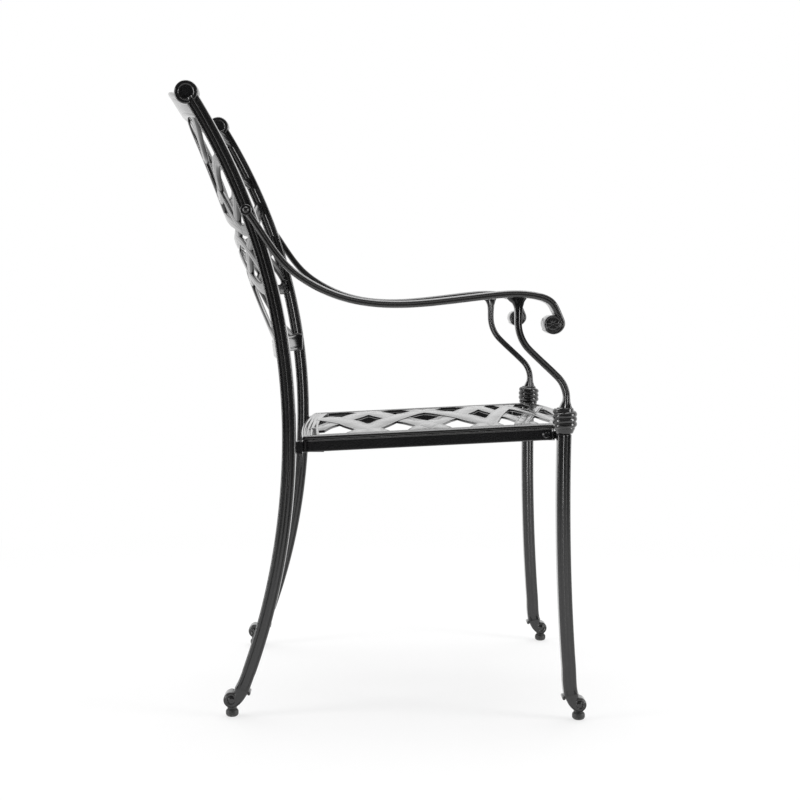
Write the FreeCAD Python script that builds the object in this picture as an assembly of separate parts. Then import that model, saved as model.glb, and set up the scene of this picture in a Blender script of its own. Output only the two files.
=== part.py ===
import FreeCAD, Part
import math
import os

# Cast garden armchair, in millimetres.
# The chair faces -Y, its left side is +X as the sitter sees it, and the floor is z = 0.
# The right half is modelled on -X and mirrored. The finished chair is moved along Y
# at the end, so that its bounding box is centred on the origin.

Vec = FreeCAD.Vector

# Clearances: between pieces that are seated or welded, round threads, spigots and inserts
seat_gap = 0.3
thread_gap = 0.06
spigot_gap = 0.05
insert_gap = 0.02
counterbore_gap = 0.4

# Length of prisms and bores that pass right through a piece, and of a small overlap between solids
through = 400.0
overlap = 6.0

# Driving sizes of the whole chair: half width of the seat, Y of its front edge and of the posts'
# waist, height of the seat at the line it is tipped about
seat_half_width = 214.0
seat_front_y = -300.0
post_waist_y = 113.4
seat_hinge_z = 411.8

# Rear legs, which go on upwards as the back posts
post_outset = 8.0
post_width = 24.0
post_depth = 20.0
post_waist_rise = 4.2
post_upper_radius = 923.0
post_lower_radius = 1039.0
post_foot_z = 50.0
post_top_rise = 481.2
curl_radius = 17.0
curl_face_radius = 10.5
curl_face_depth = 1.6
curl_back = 10.4
curl_up = 12.7
curl_width = 27.0
post_x = seat_half_width + post_outset
post_waist_z = seat_hinge_z + post_waist_rise
post_top_z = seat_hinge_z + post_top_rise

# Front legs
leg_outset = 34.0
leg_width = 21.0
leg_depth = 20.0
leg_setback = 17.2
leg_waist_z = 344.0
leg_bow_radius = 3563.0
leg_foot_z = 50.0
leg_top_rise = 6.9
leg_x = seat_half_width + leg_outset
leg_waist_y = seat_front_y + leg_setback
leg_top_z = seat_hinge_z + leg_top_rise

# Flutes along the posts and the legs
flute_half = 1.9
flute_sink = 1.1
flute_offset = 4.6
bar_corner = 2.4

# Scrolled feet, rolling outwards round a small eye
rear_scroll_out = 19.2
rear_scroll_z = 26.5
rear_scroll_radius = 12.0
front_scroll_out = 13.0
front_scroll_z = 23.7
front_scroll_radius = 10.7
scroll_eye_radius = 4.6
scroll_groove = 1.4
scroll_groove_depth = 1.3
ankle_bead_radius = 2.3
ankle_bead_back = 2.1
ankle_bead_up = 0.72
ankle_bead_inset = 1.0
belly_reach = 1.62
foot_boss_radius = 7.4
foot_boss_bottom = 12.0

# Levelling glides
insert_radius = 4.5
insert_length = 14.0
stud_radius = 3.1
stud_length = 23.0
stud_base_z = 6.0
stud_well_gap = 1.0
pad_radius = 9.3
pad_height = 10.4
pad_belly_z = 5.7
pad_shoulder_radius = 7.7
pad_neck_radius = 6.6
pad_neck_height = 1.3
pad_flat_radius = 6.0

# Collars and the joint inside them
collar_forward = 1.7
collar_length = 39.0
collar_foot_radius = 11.2
collar_rim_radius = 14.4
collar_cup_height = 8.0
collar_core_radius = 12.6
collar_core_step = 1.5
collar_ring_radius = 4.5
collar_ring_centre = 13.0
collar_ring_pitch = 9.6
collar_ring_count = 3
collar_ring_tilt = 7.0
spigot_radius = 8.0
spigot_length = 18.0
spigot_space = 1.0
collar_y = leg_waist_y - collar_forward
collar_bottom = leg_top_z + seat_gap
collar_top = collar_bottom + collar_length

# Arm supports
support_width = 14.0
support_depth = 9.8
support_corner = 2.6
support_forward = 2.0
support_run = 70.0
support_bend_angle = 46.5
support_upper_radius = 56.0
support_lower_radius = 43.0
support_lower_length = 12.0
support_flare_radius = 11.6
support_flare_height = 14.0
web_width = 9.0
web_front = 13.6
web_rear = 16.0
web_foot = 4.4
web_drop = 15.0
support_foot_y = collar_y - support_forward
support_top_y = support_foot_y + support_run

# Arms: centre line behind the middle from the knuckle on, as steps from it along Y and Z,
# and in front as distances behind the collar and above the seat
arm_thickness = 10.0
arm_edge_height = 5.4
arm_width = 50.0
arm_rear_width = 17.0
arm_outset = 25.0
arm_knuckle_rise = 326.7
arm_rear_steps = [(-13.5, -19.5), (-35.5, -52.5), (-59.5, -81.0), (-91.5, -104.0), (-131.5, -122.0)]
arm_front_steps = [
    (224.5, 193.4), (169.5, 198.2), (114.5, 204.8), (72.5, 207.8), (45.5, 205.0), (24.9, 196.4),
    (12.5, 182.0), (8.5, 166.7), (13.5, 154.7),
]
arm_scroll_back = 22.7
arm_scroll_rise = 165.4
arm_scroll_radius = 13.2
arm_scroll_face_radius = 10.4
arm_scroll_face_depth = 1.2
knuckle_radius = 8.0
arm_flare_rear_y = 145.0
arm_flare_front_y = -30.0
arm_flare_points = 10
arm_inner_x = seat_half_width + arm_outset
arm_scroll_y = collar_y + arm_scroll_back
arm_scroll_z = seat_hinge_z + arm_scroll_rise

# Bolt that holds each arm to its post
arm_bolt_radius = 3.0
arm_bolt_length = 30.0
arm_bolt_head_radius = 5.4
arm_bolt_head_height = 3.2
arm_bolt_socket_radius = 1.9
arm_bolt_socket_depth = 2.2
bolt_dome_share = 0.62

# Seat panel, laid out flat and then tipped to its pitch
seat_rear_space = 5.4
seat_rear_bow = 5.0
seat_front_bow = 16.0
seat_corner_radius = 26.0
seat_thickness = 5.0
seat_pitch = 2.75
seat_hinge_inset = 6.5
seat_border = 24.0
seat_rear_border = 26.0
seat_front_border = 22.0
seat_rear_y = post_waist_y - post_depth / 2 - seat_rear_space
seat_hinge_y = seat_rear_y - seat_hinge_inset

# Lattice of the seat: diamond openings between crossing straps
lattice_half_pitch_x = 143.0
lattice_pitch_y = 92.0
lattice_first_y = -1.3
lattice_front_pitch = 51.0
lattice_even_rows = 2.0
opening_half_x = 82.0
opening_half_v = 0.285
smallest_opening_area = 120.0
smallest_opening_width = 8.0

# Rails under the seat panel
rail_drop = 18.0
rail_thickness = 5.0
rail_lip = 1.5
rail_lip_height = 2.6
side_rail_rear_inset = 4.6
side_rail_setback = 10.5
front_rail_short = 32.0
rear_rail_short = 24.0
rear_rail_inset = 4.0
front_rail_inset = 3.0
cross_rail_reach = 20.0
side_rail_rear_y = seat_rear_y - side_rail_rear_inset
side_rail_front_y = collar_y + side_rail_setback
front_rail_half = seat_half_width - front_rail_short
rear_rail_half = seat_half_width - rear_rail_short

# Lugs and bolts that carry the seat on the legs
lug_height = 17.0
rear_lug_outset = 8.0
rear_lug_drop = 1.1
lug_tail = 30.0
lug_tail_thickness = 8.5
front_lug_length = 16.4
front_lug_forward = 7.5
front_lug_tail = 41.4
seat_bolt_radius = 2.9
seat_bolt_head_radius = 5.6
seat_bolt_head_height = 3.4
front_bolt_length = 13.0
front_bolt_setback = 22.9
front_bolt_drop = 9.9
rear_bolt_length = 25.0
rear_bolt_inset = 3.0
rear_bolt_sink = 1.0
rear_lug_outer_x = post_x + rear_lug_outset
rear_lug_inner_x = seat_half_width - rail_thickness - seat_gap - lug_tail_thickness / 2
front_lug_front_y = collar_y - front_lug_forward
front_bolt_y = collar_y + front_bolt_setback
rear_bolt_x = post_x - rear_bolt_inset

# Crest rail on top and lower rail below the back panel
crest_bow = 35.0
crest_thickness = 13.0
crest_rise = 458.2
crest_arch = 20.0
crest_end_height = 27.0
crest_mid_height = 41.0
crest_slices = 4
lower_rail_bow = 21.0
lower_rail_depth = 13.0
lower_rail_rise = 111.2
lower_rail_height = 26.5
slice_margin = 10.0
crest_end_bottom = seat_hinge_z + crest_rise
crest_mid_bottom = crest_end_bottom + crest_arch
crest_end_top = crest_end_bottom + crest_end_height
crest_mid_top = crest_mid_bottom + crest_mid_height
lower_rail_bottom = seat_hinge_z + lower_rail_rise
lower_rail_top = lower_rail_bottom + lower_rail_height

# Banded sleeves over the ends of the lower rail
ferrule_length = 15.0
ferrule_depth = 19.0
ferrule_over = 1.6
ferrule_bands = 3
ferrule_groove_width = 1.6
ferrule_groove_depth = 1.0

# Back panel: one bowed casting of crossing ribs
panel_thickness = 8.0
panel_bow = 47.0
panel_bow_rise = 330.2
panel_bow_fall = 0.0006
panel_slices = 6
rib_width = 17.0
smallest_gap_area = 40.0
rib_points = 45
rib_run_out = 2.3
rib_layout_half = 212.0
panel_half = post_x - post_width / 2 - seat_gap
panel_bottom_z = lower_rail_top + seat_gap
panel_bow_z = seat_hinge_z + panel_bow_rise
rib_span = panel_half + rib_run_out

# Ribs as knots of their centre lines: distance from mid-width at the layout's half width, height above
# the seat. Those that start at mid-width run across it, the others are made once on each side
smile_ribs = [
    [(0, 408), (50, 410), (75, 414), (100, 420), (123, 436), (146, 450), (165, 463), (178, 476)],
    [(0, 351), (50, 352), (75, 355), (100, 359), (123, 368), (141, 384), (155, 393), (168, 399),
     (182, 402), (196, 400), (212, 394)],
    [(0, 285), (75, 288), (100, 291), (123, 296), (140, 303), (150, 311), (175, 329), (195, 345),
     (212, 356)],
    [(0, 220), (60, 226), (100, 236), (123, 246), (141, 256), (153, 264), (169, 273), (184, 280),
     (198, 286), (212, 291)],
]
frown_ribs = [
    [(0, 472), (25, 468), (45, 455), (58, 430), (64, 400), (60, 368), (46, 342), (25, 328)],
    [(0, 328), (75, 322), (100, 317), (123, 313), (150, 307), (175, 301), (200, 298), (212, 296)],
    [(112, 366), (126, 350), (143, 326), (160, 310), (178, 300)],
    [(115, 290), (135, 286), (150, 281), (165, 273), (180, 263), (190, 255), (202, 245), (212, 234)],
    [(0, 270), (60, 261), (75, 257), (92, 250), (107, 240), (123, 231), (141, 224), (160, 218),
     (180, 215), (196, 216), (212, 222)],
    [(0, 240), (30, 233), (50, 221), (76, 196), (100, 177), (123, 162), (138, 152), (160, 144),
     (180, 136)],
]


def post_centre_y(z):
    """Y of the post's centre line at height z: two arcs that meet upright at the waist."""
    radius = post_upper_radius if z > post_waist_z else post_lower_radius
    return post_waist_y + radius - math.sqrt(radius ** 2 - (z - post_waist_z) ** 2)


def post_lean(z):
    """Angle of the post from upright at height z, in radians, positive where it leans back."""
    radius = post_upper_radius if z > post_waist_z else post_lower_radius
    return math.asin((z - post_waist_z) / radius)


def leg_centre_y(z):
    """Y of the front leg's centre line at height z."""
    return leg_waist_y - leg_bow_radius + math.sqrt(leg_bow_radius ** 2 - (z - leg_waist_z) ** 2)


def rear_scroll_y():
    """Y of the middle of the rear foot's roll and of its glide."""
    return post_centre_y(post_foot_z) + rear_scroll_out


def front_scroll_y():
    """Y of the middle of the front foot's roll and of its glide."""
    return leg_centre_y(leg_foot_z) - front_scroll_out


def mirrored(shape):
    """The same shape on the other side of the chair."""
    return shape.mirror(Vec(0, 0, 0), Vec(1, 0, 0))


def bar_section(x, y, z, lean, width, depth):
    """Closed outline of a bar with two flutes on each outer and inner face, square to its path."""
    across = Vec(1, 0, 0)
    along = Vec(0, math.cos(lean), -math.sin(lean))
    origin = Vec(x, y, z)

    def at(u, v):
        return origin + across * u + along * v

    half_u = width / 2
    half_v = depth / 2
    edges = []
    for side in (1, -1):
        corner_v = half_v - bar_corner
        diagonal = bar_corner * (1 - math.sqrt(0.5))
        stops = [-corner_v]
        for centre in (-flute_offset, flute_offset):
            stops += [centre - flute_half, centre + flute_half]
        stops.append(corner_v)
        for k in range(0, len(stops), 2):
            start = at(side * half_u, side * stops[k])
            edges.append(Part.makeLine(start, at(side * half_u, side * stops[k + 1])))
        for centre in (-flute_offset, flute_offset):
            start = at(side * half_u, side * (centre - flute_half))
            middle = at(side * (half_u - flute_sink), side * centre)
            end = at(side * half_u, side * (centre + flute_half))
            edges.append(Part.Arc(start, middle, end).toShape())
        start = at(side * half_u, side * corner_v)
        middle = at(side * (half_u - diagonal), side * (half_v - diagonal))
        end = at(side * (half_u - bar_corner), side * half_v)
        edges.append(Part.Arc(start, middle, end).toShape())
        edges.append(Part.makeLine(end, at(-side * (half_u - bar_corner), side * half_v)))
        start = at(-side * (half_u - bar_corner), side * half_v)
        middle = at(-side * (half_u - diagonal), side * (half_v - diagonal))
        end = at(-side * half_u, side * corner_v)
        edges.append(Part.Arc(start, middle, end).toShape())
    return Part.Wire(Part.__sortEdges__(edges))


def rounded_section(x, y, z, lean, width, depth, corner):
    """Closed outline of a bar with rounded corners, square to its path."""
    face = Part.makePlane(width, depth, Vec(x - width / 2, y - depth / 2, z))
    block = face.extrude(Vec(0, 0, 1))
    upright = [edge for edge in block.Edges if abs(edge.tangentAt(edge.FirstParameter).z) > 0.9]
    block = block.makeFillet(corner, upright)
    bottom = min(block.Faces, key=lambda item: item.CenterOfMass.z)
    outline = bottom.OuterWire.copy()
    outline.rotate(Vec(x, y, z), Vec(1, 0, 0), -math.degrees(lean))
    return outline


def swept(section, path_edges):
    """Solid of one outline carried along a path."""
    path = Part.Wire(path_edges)
    shell = path.makePipeShell([section], True, False)
    return shell if shell.ShapeType == "Solid" else Part.Solid(shell)


def arc_edge(x, function, z_start, z_end):
    """Arc in a plane of constant X through three points of a centre line."""
    heights = (z_start, (z_start + z_end) / 2, z_end)
    points = [Vec(x, function(z), z) for z in heights]
    return Part.Arc(*points).toShape()


def scroll_foot(x, width, centre_y, centre_z, radius, leg_y, leg_z, lean, depth, outward):
    """Foot that sweeps under a small eye and rolls up outwards, with a boss for the glide."""
    half = depth / 2
    inner = Vec(0, leg_y - outward * half * math.cos(lean), leg_z - abs(half * math.sin(lean)))
    outer = Vec(0, leg_y + outward * half * math.cos(lean), leg_z + abs(half * math.sin(lean)))
    bottom = Vec(0, centre_y, centre_z - radius)
    toe = Vec(0, centre_y + outward * radius, centre_z)
    top = Vec(0, centre_y, centre_z + radius)
    belly = Vec(0, centre_y - outward * radius * belly_reach, centre_z)
    edges = [
        Part.Arc(inner, belly, bottom).toShape(),
        Part.Arc(bottom, toe, top).toShape(),
        Part.makeLine(top, outer),
        Part.makeLine(outer, inner),
    ]
    profile = Part.Face(Part.Wire(edges))
    profile.translate(Vec(x - width / 2, 0, 0))
    foot = profile.extrude(Vec(width, 0, 0))
    for side in (-1, 1):
        start = x + side * (width / 2 - scroll_groove_depth)
        axis = Vec(side, 0, 0)
        disc = Part.makeCylinder(scroll_eye_radius + scroll_groove, scroll_groove_depth * 2,
                                 Vec(start, centre_y, centre_z), axis)
        eye = Part.makeCylinder(scroll_eye_radius, scroll_groove_depth * 2,
                                Vec(start, centre_y, centre_z), axis)
        foot = foot.cut(disc.cut(eye))
    boss = Part.makeCylinder(foot_boss_radius, centre_z - foot_boss_bottom,
                             Vec(x, centre_y, foot_boss_bottom))
    foot = foot.fuse(boss)
    bead_at = Vec(x - width / 2 + ankle_bead_inset, centre_y - outward * ankle_bead_back * radius,
                  centre_z + ankle_bead_up * radius)
    bead = Part.makeCylinder(ankle_bead_radius, width - 2 * ankle_bead_inset, bead_at, Vec(1, 0, 0))
    return foot.fuse(bead)


def foot_bores(x, centre_y):
    """Space in a foot for the threaded insert and, above it, for the end of the stud."""
    bore = Part.makeCylinder(insert_radius, insert_length, Vec(x, centre_y, foot_boss_bottom))
    well_top = stud_base_z + stud_length + stud_well_gap
    well = Part.makeCylinder(stud_radius + stud_well_gap / 2, well_top - foot_boss_bottom,
                             Vec(x, centre_y, foot_boss_bottom))
    return bore.fuse(well)


def rear_leg():
    """Right rear leg: fluted post on two arcs, rolled top and scrolled foot."""
    x = -post_x
    start = bar_section(x, post_centre_y(post_foot_z), post_foot_z, post_lean(post_foot_z), post_width,
                        post_depth)
    path = [
        arc_edge(x, post_centre_y, post_foot_z, post_waist_z),
        arc_edge(x, post_centre_y, post_waist_z, post_top_z),
    ]
    body = swept(start, path)
    curl_y = post_centre_y(post_top_z) + curl_back
    curl_z = post_top_z + curl_up
    curl = Part.makeCylinder(curl_radius, curl_width, Vec(x - curl_width / 2, curl_y, curl_z), Vec(1, 0, 0))
    for side in (-1, 1):
        face_x = x + side * (curl_width / 2 - curl_face_depth)
        sink = Part.makeCylinder(curl_face_radius, curl_face_depth * 2, Vec(face_x, curl_y, curl_z),
                                 Vec(side, 0, 0))
        curl = curl.cut(sink)
    foot = scroll_foot(x, post_width, rear_scroll_y(), rear_scroll_z, rear_scroll_radius,
                       post_centre_y(post_foot_z), post_foot_z, post_lean(post_foot_z), post_depth, 1)
    body = body.fuse([curl, foot])
    body = body.cut(foot_bores(x, rear_scroll_y()))
    return body.removeSplitter()


def front_leg():
    """Right front leg: fluted, nearly straight, with a scrolled foot and a spigot on top."""
    x = -leg_x
    lean = math.asin((leg_waist_z - leg_foot_z) / leg_bow_radius)
    start = bar_section(x, leg_centre_y(leg_foot_z), leg_foot_z, lean, leg_width, leg_depth)
    body = swept(start, [arc_edge(x, leg_centre_y, leg_foot_z, leg_top_z)])
    foot = scroll_foot(x, leg_width, front_scroll_y(), front_scroll_z, front_scroll_radius,
                       leg_centre_y(leg_foot_z), leg_foot_z, lean, leg_depth, -1)
    spigot = Part.makeCylinder(spigot_radius, spigot_length + overlap, Vec(x, collar_y, leg_top_z - overlap))
    body = body.fuse([foot, spigot])
    body = body.cut(foot_bores(x, front_scroll_y()))
    return body.removeSplitter()


def collar():
    """Right collar: a cup and slightly slanting rings wrapped round a core, bored for the two spigots."""
    x = -leg_x
    base = Vec(x, collar_y, collar_bottom)
    cup = Part.makeCone(collar_foot_radius, collar_rim_radius, collar_cup_height, base)
    core = Part.makeCylinder(collar_core_radius, collar_length - collar_core_step, base)
    body = cup.fuse(core)
    first = collar_bottom + collar_cup_height + collar_ring_radius
    for k in range(collar_ring_count):
        centre = Vec(x, collar_y, first + k * collar_ring_pitch)
        tilt = math.radians(collar_ring_tilt)
        axis = Vec(0, math.sin(tilt), math.cos(tilt))
        body = body.fuse(Part.makeTorus(collar_ring_centre, collar_ring_radius, centre, axis))
    bore = Part.makeCylinder(spigot_radius + spigot_gap, through,
                             Vec(x, collar_y, collar_bottom - through / 2))
    return body.cut(bore).removeSplitter()


def support_path():
    """Edges of the S-shaped support's centre line, from the collar up to the arm."""
    angle = math.radians(support_bend_angle)
    x = -leg_x
    low = Vec(x, support_foot_y, collar_top + support_lower_length)
    low_centre = low + Vec(0, support_lower_radius, 0)
    bends = support_lower_radius + support_upper_radius
    straight = (support_run - bends * (1 - math.cos(angle))) / math.sin(angle)

    def on_low(a):
        return low_centre + Vec(0, -support_lower_radius * math.cos(a), support_lower_radius * math.sin(a))

    knee = on_low(angle)
    shoulder = knee + Vec(0, straight * math.sin(angle), straight * math.cos(angle))
    top_centre_y = support_top_y - support_upper_radius
    top_z = shoulder.z + support_upper_radius * math.sin(angle)

    def on_top(a):
        return Vec(x, top_centre_y + support_upper_radius * math.cos(a),
                   top_z - support_upper_radius * math.sin(a))

    end = on_top(0.0)
    return [
        Part.makeLine(Vec(x, support_foot_y, collar_top + seat_gap), low),
        Part.Arc(low, on_low(angle / 2), knee).toShape(),
        Part.makeLine(knee, shoulder),
        Part.Arc(shoulder, on_top(angle / 2), end).toShape(),
        Part.makeLine(end, end + Vec(0, 0, web_drop + arm_thickness * 3)),
    ]


def arm_support(arm_shape):
    """Right arm support: S-shaped bar with a web under the arm and a spigot into the collar."""
    x = -leg_x
    section = rounded_section(x, support_foot_y, collar_top + seat_gap, 0.0, support_width, support_depth,
                              support_corner)
    bar = swept(section, support_path())
    top = arm_height(support_top_y)
    foot = top - arm_thickness / 2 - web_drop
    side = x - web_width / 2
    outline = Part.makePolygon([
        Vec(side, support_top_y - web_front, top), Vec(side, support_top_y + web_rear, top),
        Vec(side, support_top_y + web_foot, foot), Vec(side, support_top_y - web_foot, foot),
        Vec(side, support_top_y - web_front, top),
    ])
    web = Part.Face(outline).extrude(Vec(web_width, 0, 0))
    flare = Part.makeCone(support_flare_radius, support_depth / 2, support_flare_height,
                          Vec(x, collar_y, collar_top + seat_gap))
    spigot_bottom = collar_bottom + spigot_length + spigot_space
    spigot = Part.makeCylinder(spigot_radius, collar_top + overlap - spigot_bottom,
                               Vec(x, collar_y, spigot_bottom))
    body = bar.fuse([web, flare, spigot])
    lowered = arm_shape.copy()
    lowered.translate(Vec(0, 0, -seat_gap))
    pieces = body.cut([arm_shape, lowered]).Solids
    return min(pieces, key=lambda solid: solid.CenterOfMass.z)


def arm_knuckle():
    """Point in the plane X = 0 that the arm bolt's axis passes through, on the post's centre line."""
    z = seat_hinge_z + arm_knuckle_rise
    return Vec(0, post_centre_y(z), z)


def arm_curve():
    """Spline through the points of the arm's centre line, in the plane X = 0."""
    knuckle = arm_knuckle()
    points = [knuckle]
    points += [knuckle + Vec(0, y, z) for y, z in arm_rear_steps]
    points += [Vec(0, collar_y + back, seat_hinge_z + rise) for back, rise in arm_front_steps]
    curve = Part.BSplineCurve()
    curve.interpolate(points)
    return curve


def arm_height(y):
    """Height of the arm's centre line at Y, on the part of it behind the front roll."""
    plane = Part.Plane(Vec(0, y, 0), Vec(0, 1, 0))
    crossings = arm_curve().intersect(plane)[0]
    return max(point.Z for point in crossings)


def arm_edge(rear_x, front_x):
    """Edges of one side of the arm's plan outline: straight, a smooth step outwards, straight in front."""
    points = []
    for k in range(arm_flare_points + 1):
        share = k / arm_flare_points
        step = share * share * (3 - 2 * share)
        y = arm_flare_rear_y + (arm_flare_front_y - arm_flare_rear_y) * share
        points.append(Vec(rear_x + (front_x - rear_x) * step, y, 0))
    flare = Part.BSplineCurve()
    flare.interpolate(Points=points, InitialTangent=Vec(0, -1, 0), FinalTangent=Vec(0, -1, 0))
    return [
        Part.makeLine(Vec(rear_x, arm_knuckle().y + 2 * knuckle_radius, 0), points[0]),
        flare.toShape(),
        Part.makeLine(points[-1], Vec(front_x, arm_scroll_y - 2 * arm_scroll_radius, 0)),
    ]


def arm_rear_face():
    """X of the outer face of the right arm's knuckle."""
    return -(post_x + post_width / 2 + seat_gap + arm_rear_width)


def arm():
    """Right arm: crowned strap that flares to the front, ending in a roll, with a knuckle at the post."""
    curve = arm_curve()
    start = curve.value(curve.FirstParameter)
    tangent = curve.tangent(curve.FirstParameter)[0]
    normal = Vec(0, -tangent.z, tangent.y)
    if normal.z < 0:
        normal = normal * -1
    front_centre = -(arm_inner_x + arm_width / 2)
    half = arm_width

    def at(u, v):
        return Vec(front_centre + u, 0, 0) + start + normal * v

    low = -arm_thickness / 2
    side_top = low + arm_edge_height
    outline = [
        Part.makeLine(at(-half, low), at(half, low)),
        Part.makeLine(at(half, low), at(half, side_top)),
        Part.Arc(at(half, side_top), at(0, arm_thickness / 2), at(-half, side_top)).toShape(),
        Part.makeLine(at(-half, side_top), at(-half, low)),
    ]
    spine = Part.Edge(curve)
    spine.translate(Vec(front_centre, 0, 0))
    strap = swept(Part.Wire(outline), [spine])
    rear_outer = arm_rear_face()
    rear_inner = rear_outer + arm_rear_width
    front_inner = -arm_inner_x
    front_outer = -(arm_inner_x + arm_width)
    inner = arm_edge(rear_inner, front_inner)
    outer = arm_edge(rear_outer, front_outer)
    front_end = Part.makeLine(inner[-1].Vertexes[-1].Point, outer[-1].Vertexes[-1].Point)
    rear_end = Part.makeLine(outer[0].Vertexes[0].Point, inner[0].Vertexes[0].Point)
    plan = Part.Face(Part.Wire(inner + [front_end] + outer[::-1] + [rear_end]))
    plan.translate(Vec(0, 0, start.z - through / 2))
    strap = strap.common(plan.extrude(Vec(0, 0, through)))
    roll = Part.makeCylinder(arm_scroll_radius, arm_width, Vec(front_outer, arm_scroll_y, arm_scroll_z),
                             Vec(1, 0, 0))
    for face_x, side in ((front_outer + arm_scroll_face_depth, -1), (front_inner - arm_scroll_face_depth, 1)):
        sink = Part.makeCylinder(arm_scroll_face_radius, arm_scroll_face_depth * 2,
                                 Vec(face_x, arm_scroll_y, arm_scroll_z), Vec(side, 0, 0))
        roll = roll.cut(sink)
    rear_face = arm_knuckle() + Vec(rear_outer, 0, 0)
    knuckle = Part.makeCylinder(knuckle_radius, arm_rear_width, rear_face, Vec(1, 0, 0))
    body = strap.fuse([roll, knuckle])
    hole = Part.makeCylinder(arm_bolt_radius + thread_gap, through, rear_face - Vec(through / 2, 0, 0),
                             Vec(1, 0, 0))
    return body.cut(hole).removeSplitter()


def arm_bolt():
    """Right arm bolt: round head outside the knuckle, shank into the post."""
    face = arm_knuckle() + Vec(arm_rear_face(), 0, 0)
    axis = Vec(-1, 0, 0)
    head = Part.makeCone(arm_bolt_head_radius, arm_bolt_head_radius * bolt_dome_share, arm_bolt_head_height,
                         face, axis)
    shank = Part.makeCylinder(arm_bolt_radius, arm_bolt_length, face, Vec(1, 0, 0))
    socket = Part.makeCylinder(arm_bolt_socket_radius, arm_bolt_socket_depth,
                               face + axis * (arm_bolt_head_height - arm_bolt_socket_depth), axis)
    return head.fuse(shank).cut(socket).removeSplitter()


def seat_place(shape):
    """Tip a seat piece, laid out flat with its top at z = 0, to the seat's pitch and height."""
    placed = shape.copy()
    placed.rotate(Vec(0, seat_hinge_y, 0), Vec(1, 0, 0), -seat_pitch)
    placed.translate(Vec(0, 0, seat_hinge_z))
    return placed


def seat_outline(inset):
    """Closed plan outline of the seat, set in by a distance: bowed front and rear, rounded front corners."""
    half = seat_half_width - inset
    rear = seat_rear_y - inset
    front = seat_front_y + inset
    radius = seat_corner_radius - inset
    blend = radius * (1 - math.sqrt(0.5))
    edges = [
        Part.Arc(Vec(half, rear, 0), Vec(0, rear + seat_rear_bow, 0), Vec(-half, rear, 0)).toShape(),
        Part.makeLine(Vec(-half, rear, 0), Vec(-half, front + radius, 0)),
        Part.Arc(Vec(-half, front + radius, 0), Vec(-half + blend, front + blend, 0),
                 Vec(-half + radius, front, 0)).toShape(),
        Part.Arc(Vec(-half + radius, front, 0), Vec(0, front - seat_front_bow, 0),
                 Vec(half - radius, front, 0)).toShape(),
        Part.Arc(Vec(half - radius, front, 0), Vec(half - blend, front + blend, 0),
                 Vec(half, front + radius, 0)).toShape(),
        Part.makeLine(Vec(half, front + radius, 0), Vec(half, rear, 0)),
    ]
    return Part.Wire(edges)


def lattice_y(v):
    """Y of lattice row v: even rows first, then closer ones towards the front edge."""
    if v <= lattice_even_rows:
        return lattice_first_y - lattice_pitch_y * v
    turn = lattice_first_y - lattice_pitch_y * lattice_even_rows
    return turn - lattice_front_pitch * (v - lattice_even_rows)


def lattice_openings():
    """Faces of the diamond openings, cut off at the border of the lattice field."""
    half = seat_half_width - seat_border
    rear = seat_rear_y - seat_rear_border
    front = seat_front_y + seat_front_border
    field = Part.Face(Part.Wire([
        Part.Arc(Vec(half, rear, 0), Vec(0, rear + seat_rear_bow, 0), Vec(-half, rear, 0)).toShape(),
        Part.makeLine(Vec(-half, rear, 0), Vec(-half, front, 0)),
        Part.Arc(Vec(-half, front, 0), Vec(0, front - seat_front_bow, 0), Vec(half, front, 0)).toShape(),
        Part.makeLine(Vec(half, front, 0), Vec(half, rear, 0)),
    ]))
    pieces = []
    for column in range(-1, 2):
        for row in range(-2, 6):
            v = row + (0.5 if column % 2 else 0.0)
            u = column * lattice_half_pitch_x
            corners = [(u + opening_half_x, v), (u, v + opening_half_v),
                       (u - opening_half_x, v), (u, v - opening_half_v)]
            points = [Vec(cu, lattice_y(cv), 0) for cu, cv in corners]
            diamond = Part.Face(Part.makePolygon(points + [points[0]]))
            piece = diamond.common(field)
            for face in piece.Faces:
                box = face.BoundBox
                narrow = min(box.XLength, box.YLength)
                if face.Area > smallest_opening_area and narrow > smallest_opening_width:
                    pieces.append(face)
    return pieces


def seat_panel():
    """Cast seat panel: a bordered plate with diamond openings between crossing straps."""
    plate = Part.Face(seat_outline(0.0)).extrude(Vec(0, 0, -seat_thickness))
    cutters = []
    for face in lattice_openings():
        cutter = face.extrude(Vec(0, 0, -seat_thickness * 3))
        cutter.translate(Vec(0, 0, seat_thickness))
        cutters.append(cutter)
    plate = plate.cut(Part.makeCompound(cutters))
    return seat_place(plate)


def rail_band(inset, thickness, y_low, y_high, x_low, x_high):
    """Part of the band that follows the seat's outline, inside a rectangle, hanging under the panel."""
    outer = Part.Face(seat_outline(inset))
    inner = Part.Face(seat_outline(inset + thickness))
    window = Part.Face(Part.makePolygon([
        Vec(x_low, y_low, 0), Vec(x_high, y_low, 0), Vec(x_high, y_high, 0), Vec(x_low, y_high, 0),
        Vec(x_low, y_low, 0),
    ]))
    band = outer.cut(inner).common(window)
    band.translate(Vec(0, 0, -seat_thickness))
    return band.extrude(Vec(0, 0, -rail_drop))


def side_rail():
    """Right side rail: flat apron with a thin lip along its top."""
    apron = rail_band(0.0, rail_thickness, side_rail_front_y, side_rail_rear_y,
                      -through, rail_thickness - seat_half_width)
    lip = Part.makeBox(rail_lip, side_rail_rear_y - side_rail_front_y, rail_lip_height,
                       Vec(-seat_half_width - rail_lip, side_rail_front_y, -seat_thickness - rail_lip_height))
    apron = seat_place(apron.fuse(lip))
    return apron.cut(front_bolt_hole()).removeSplitter()


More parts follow.
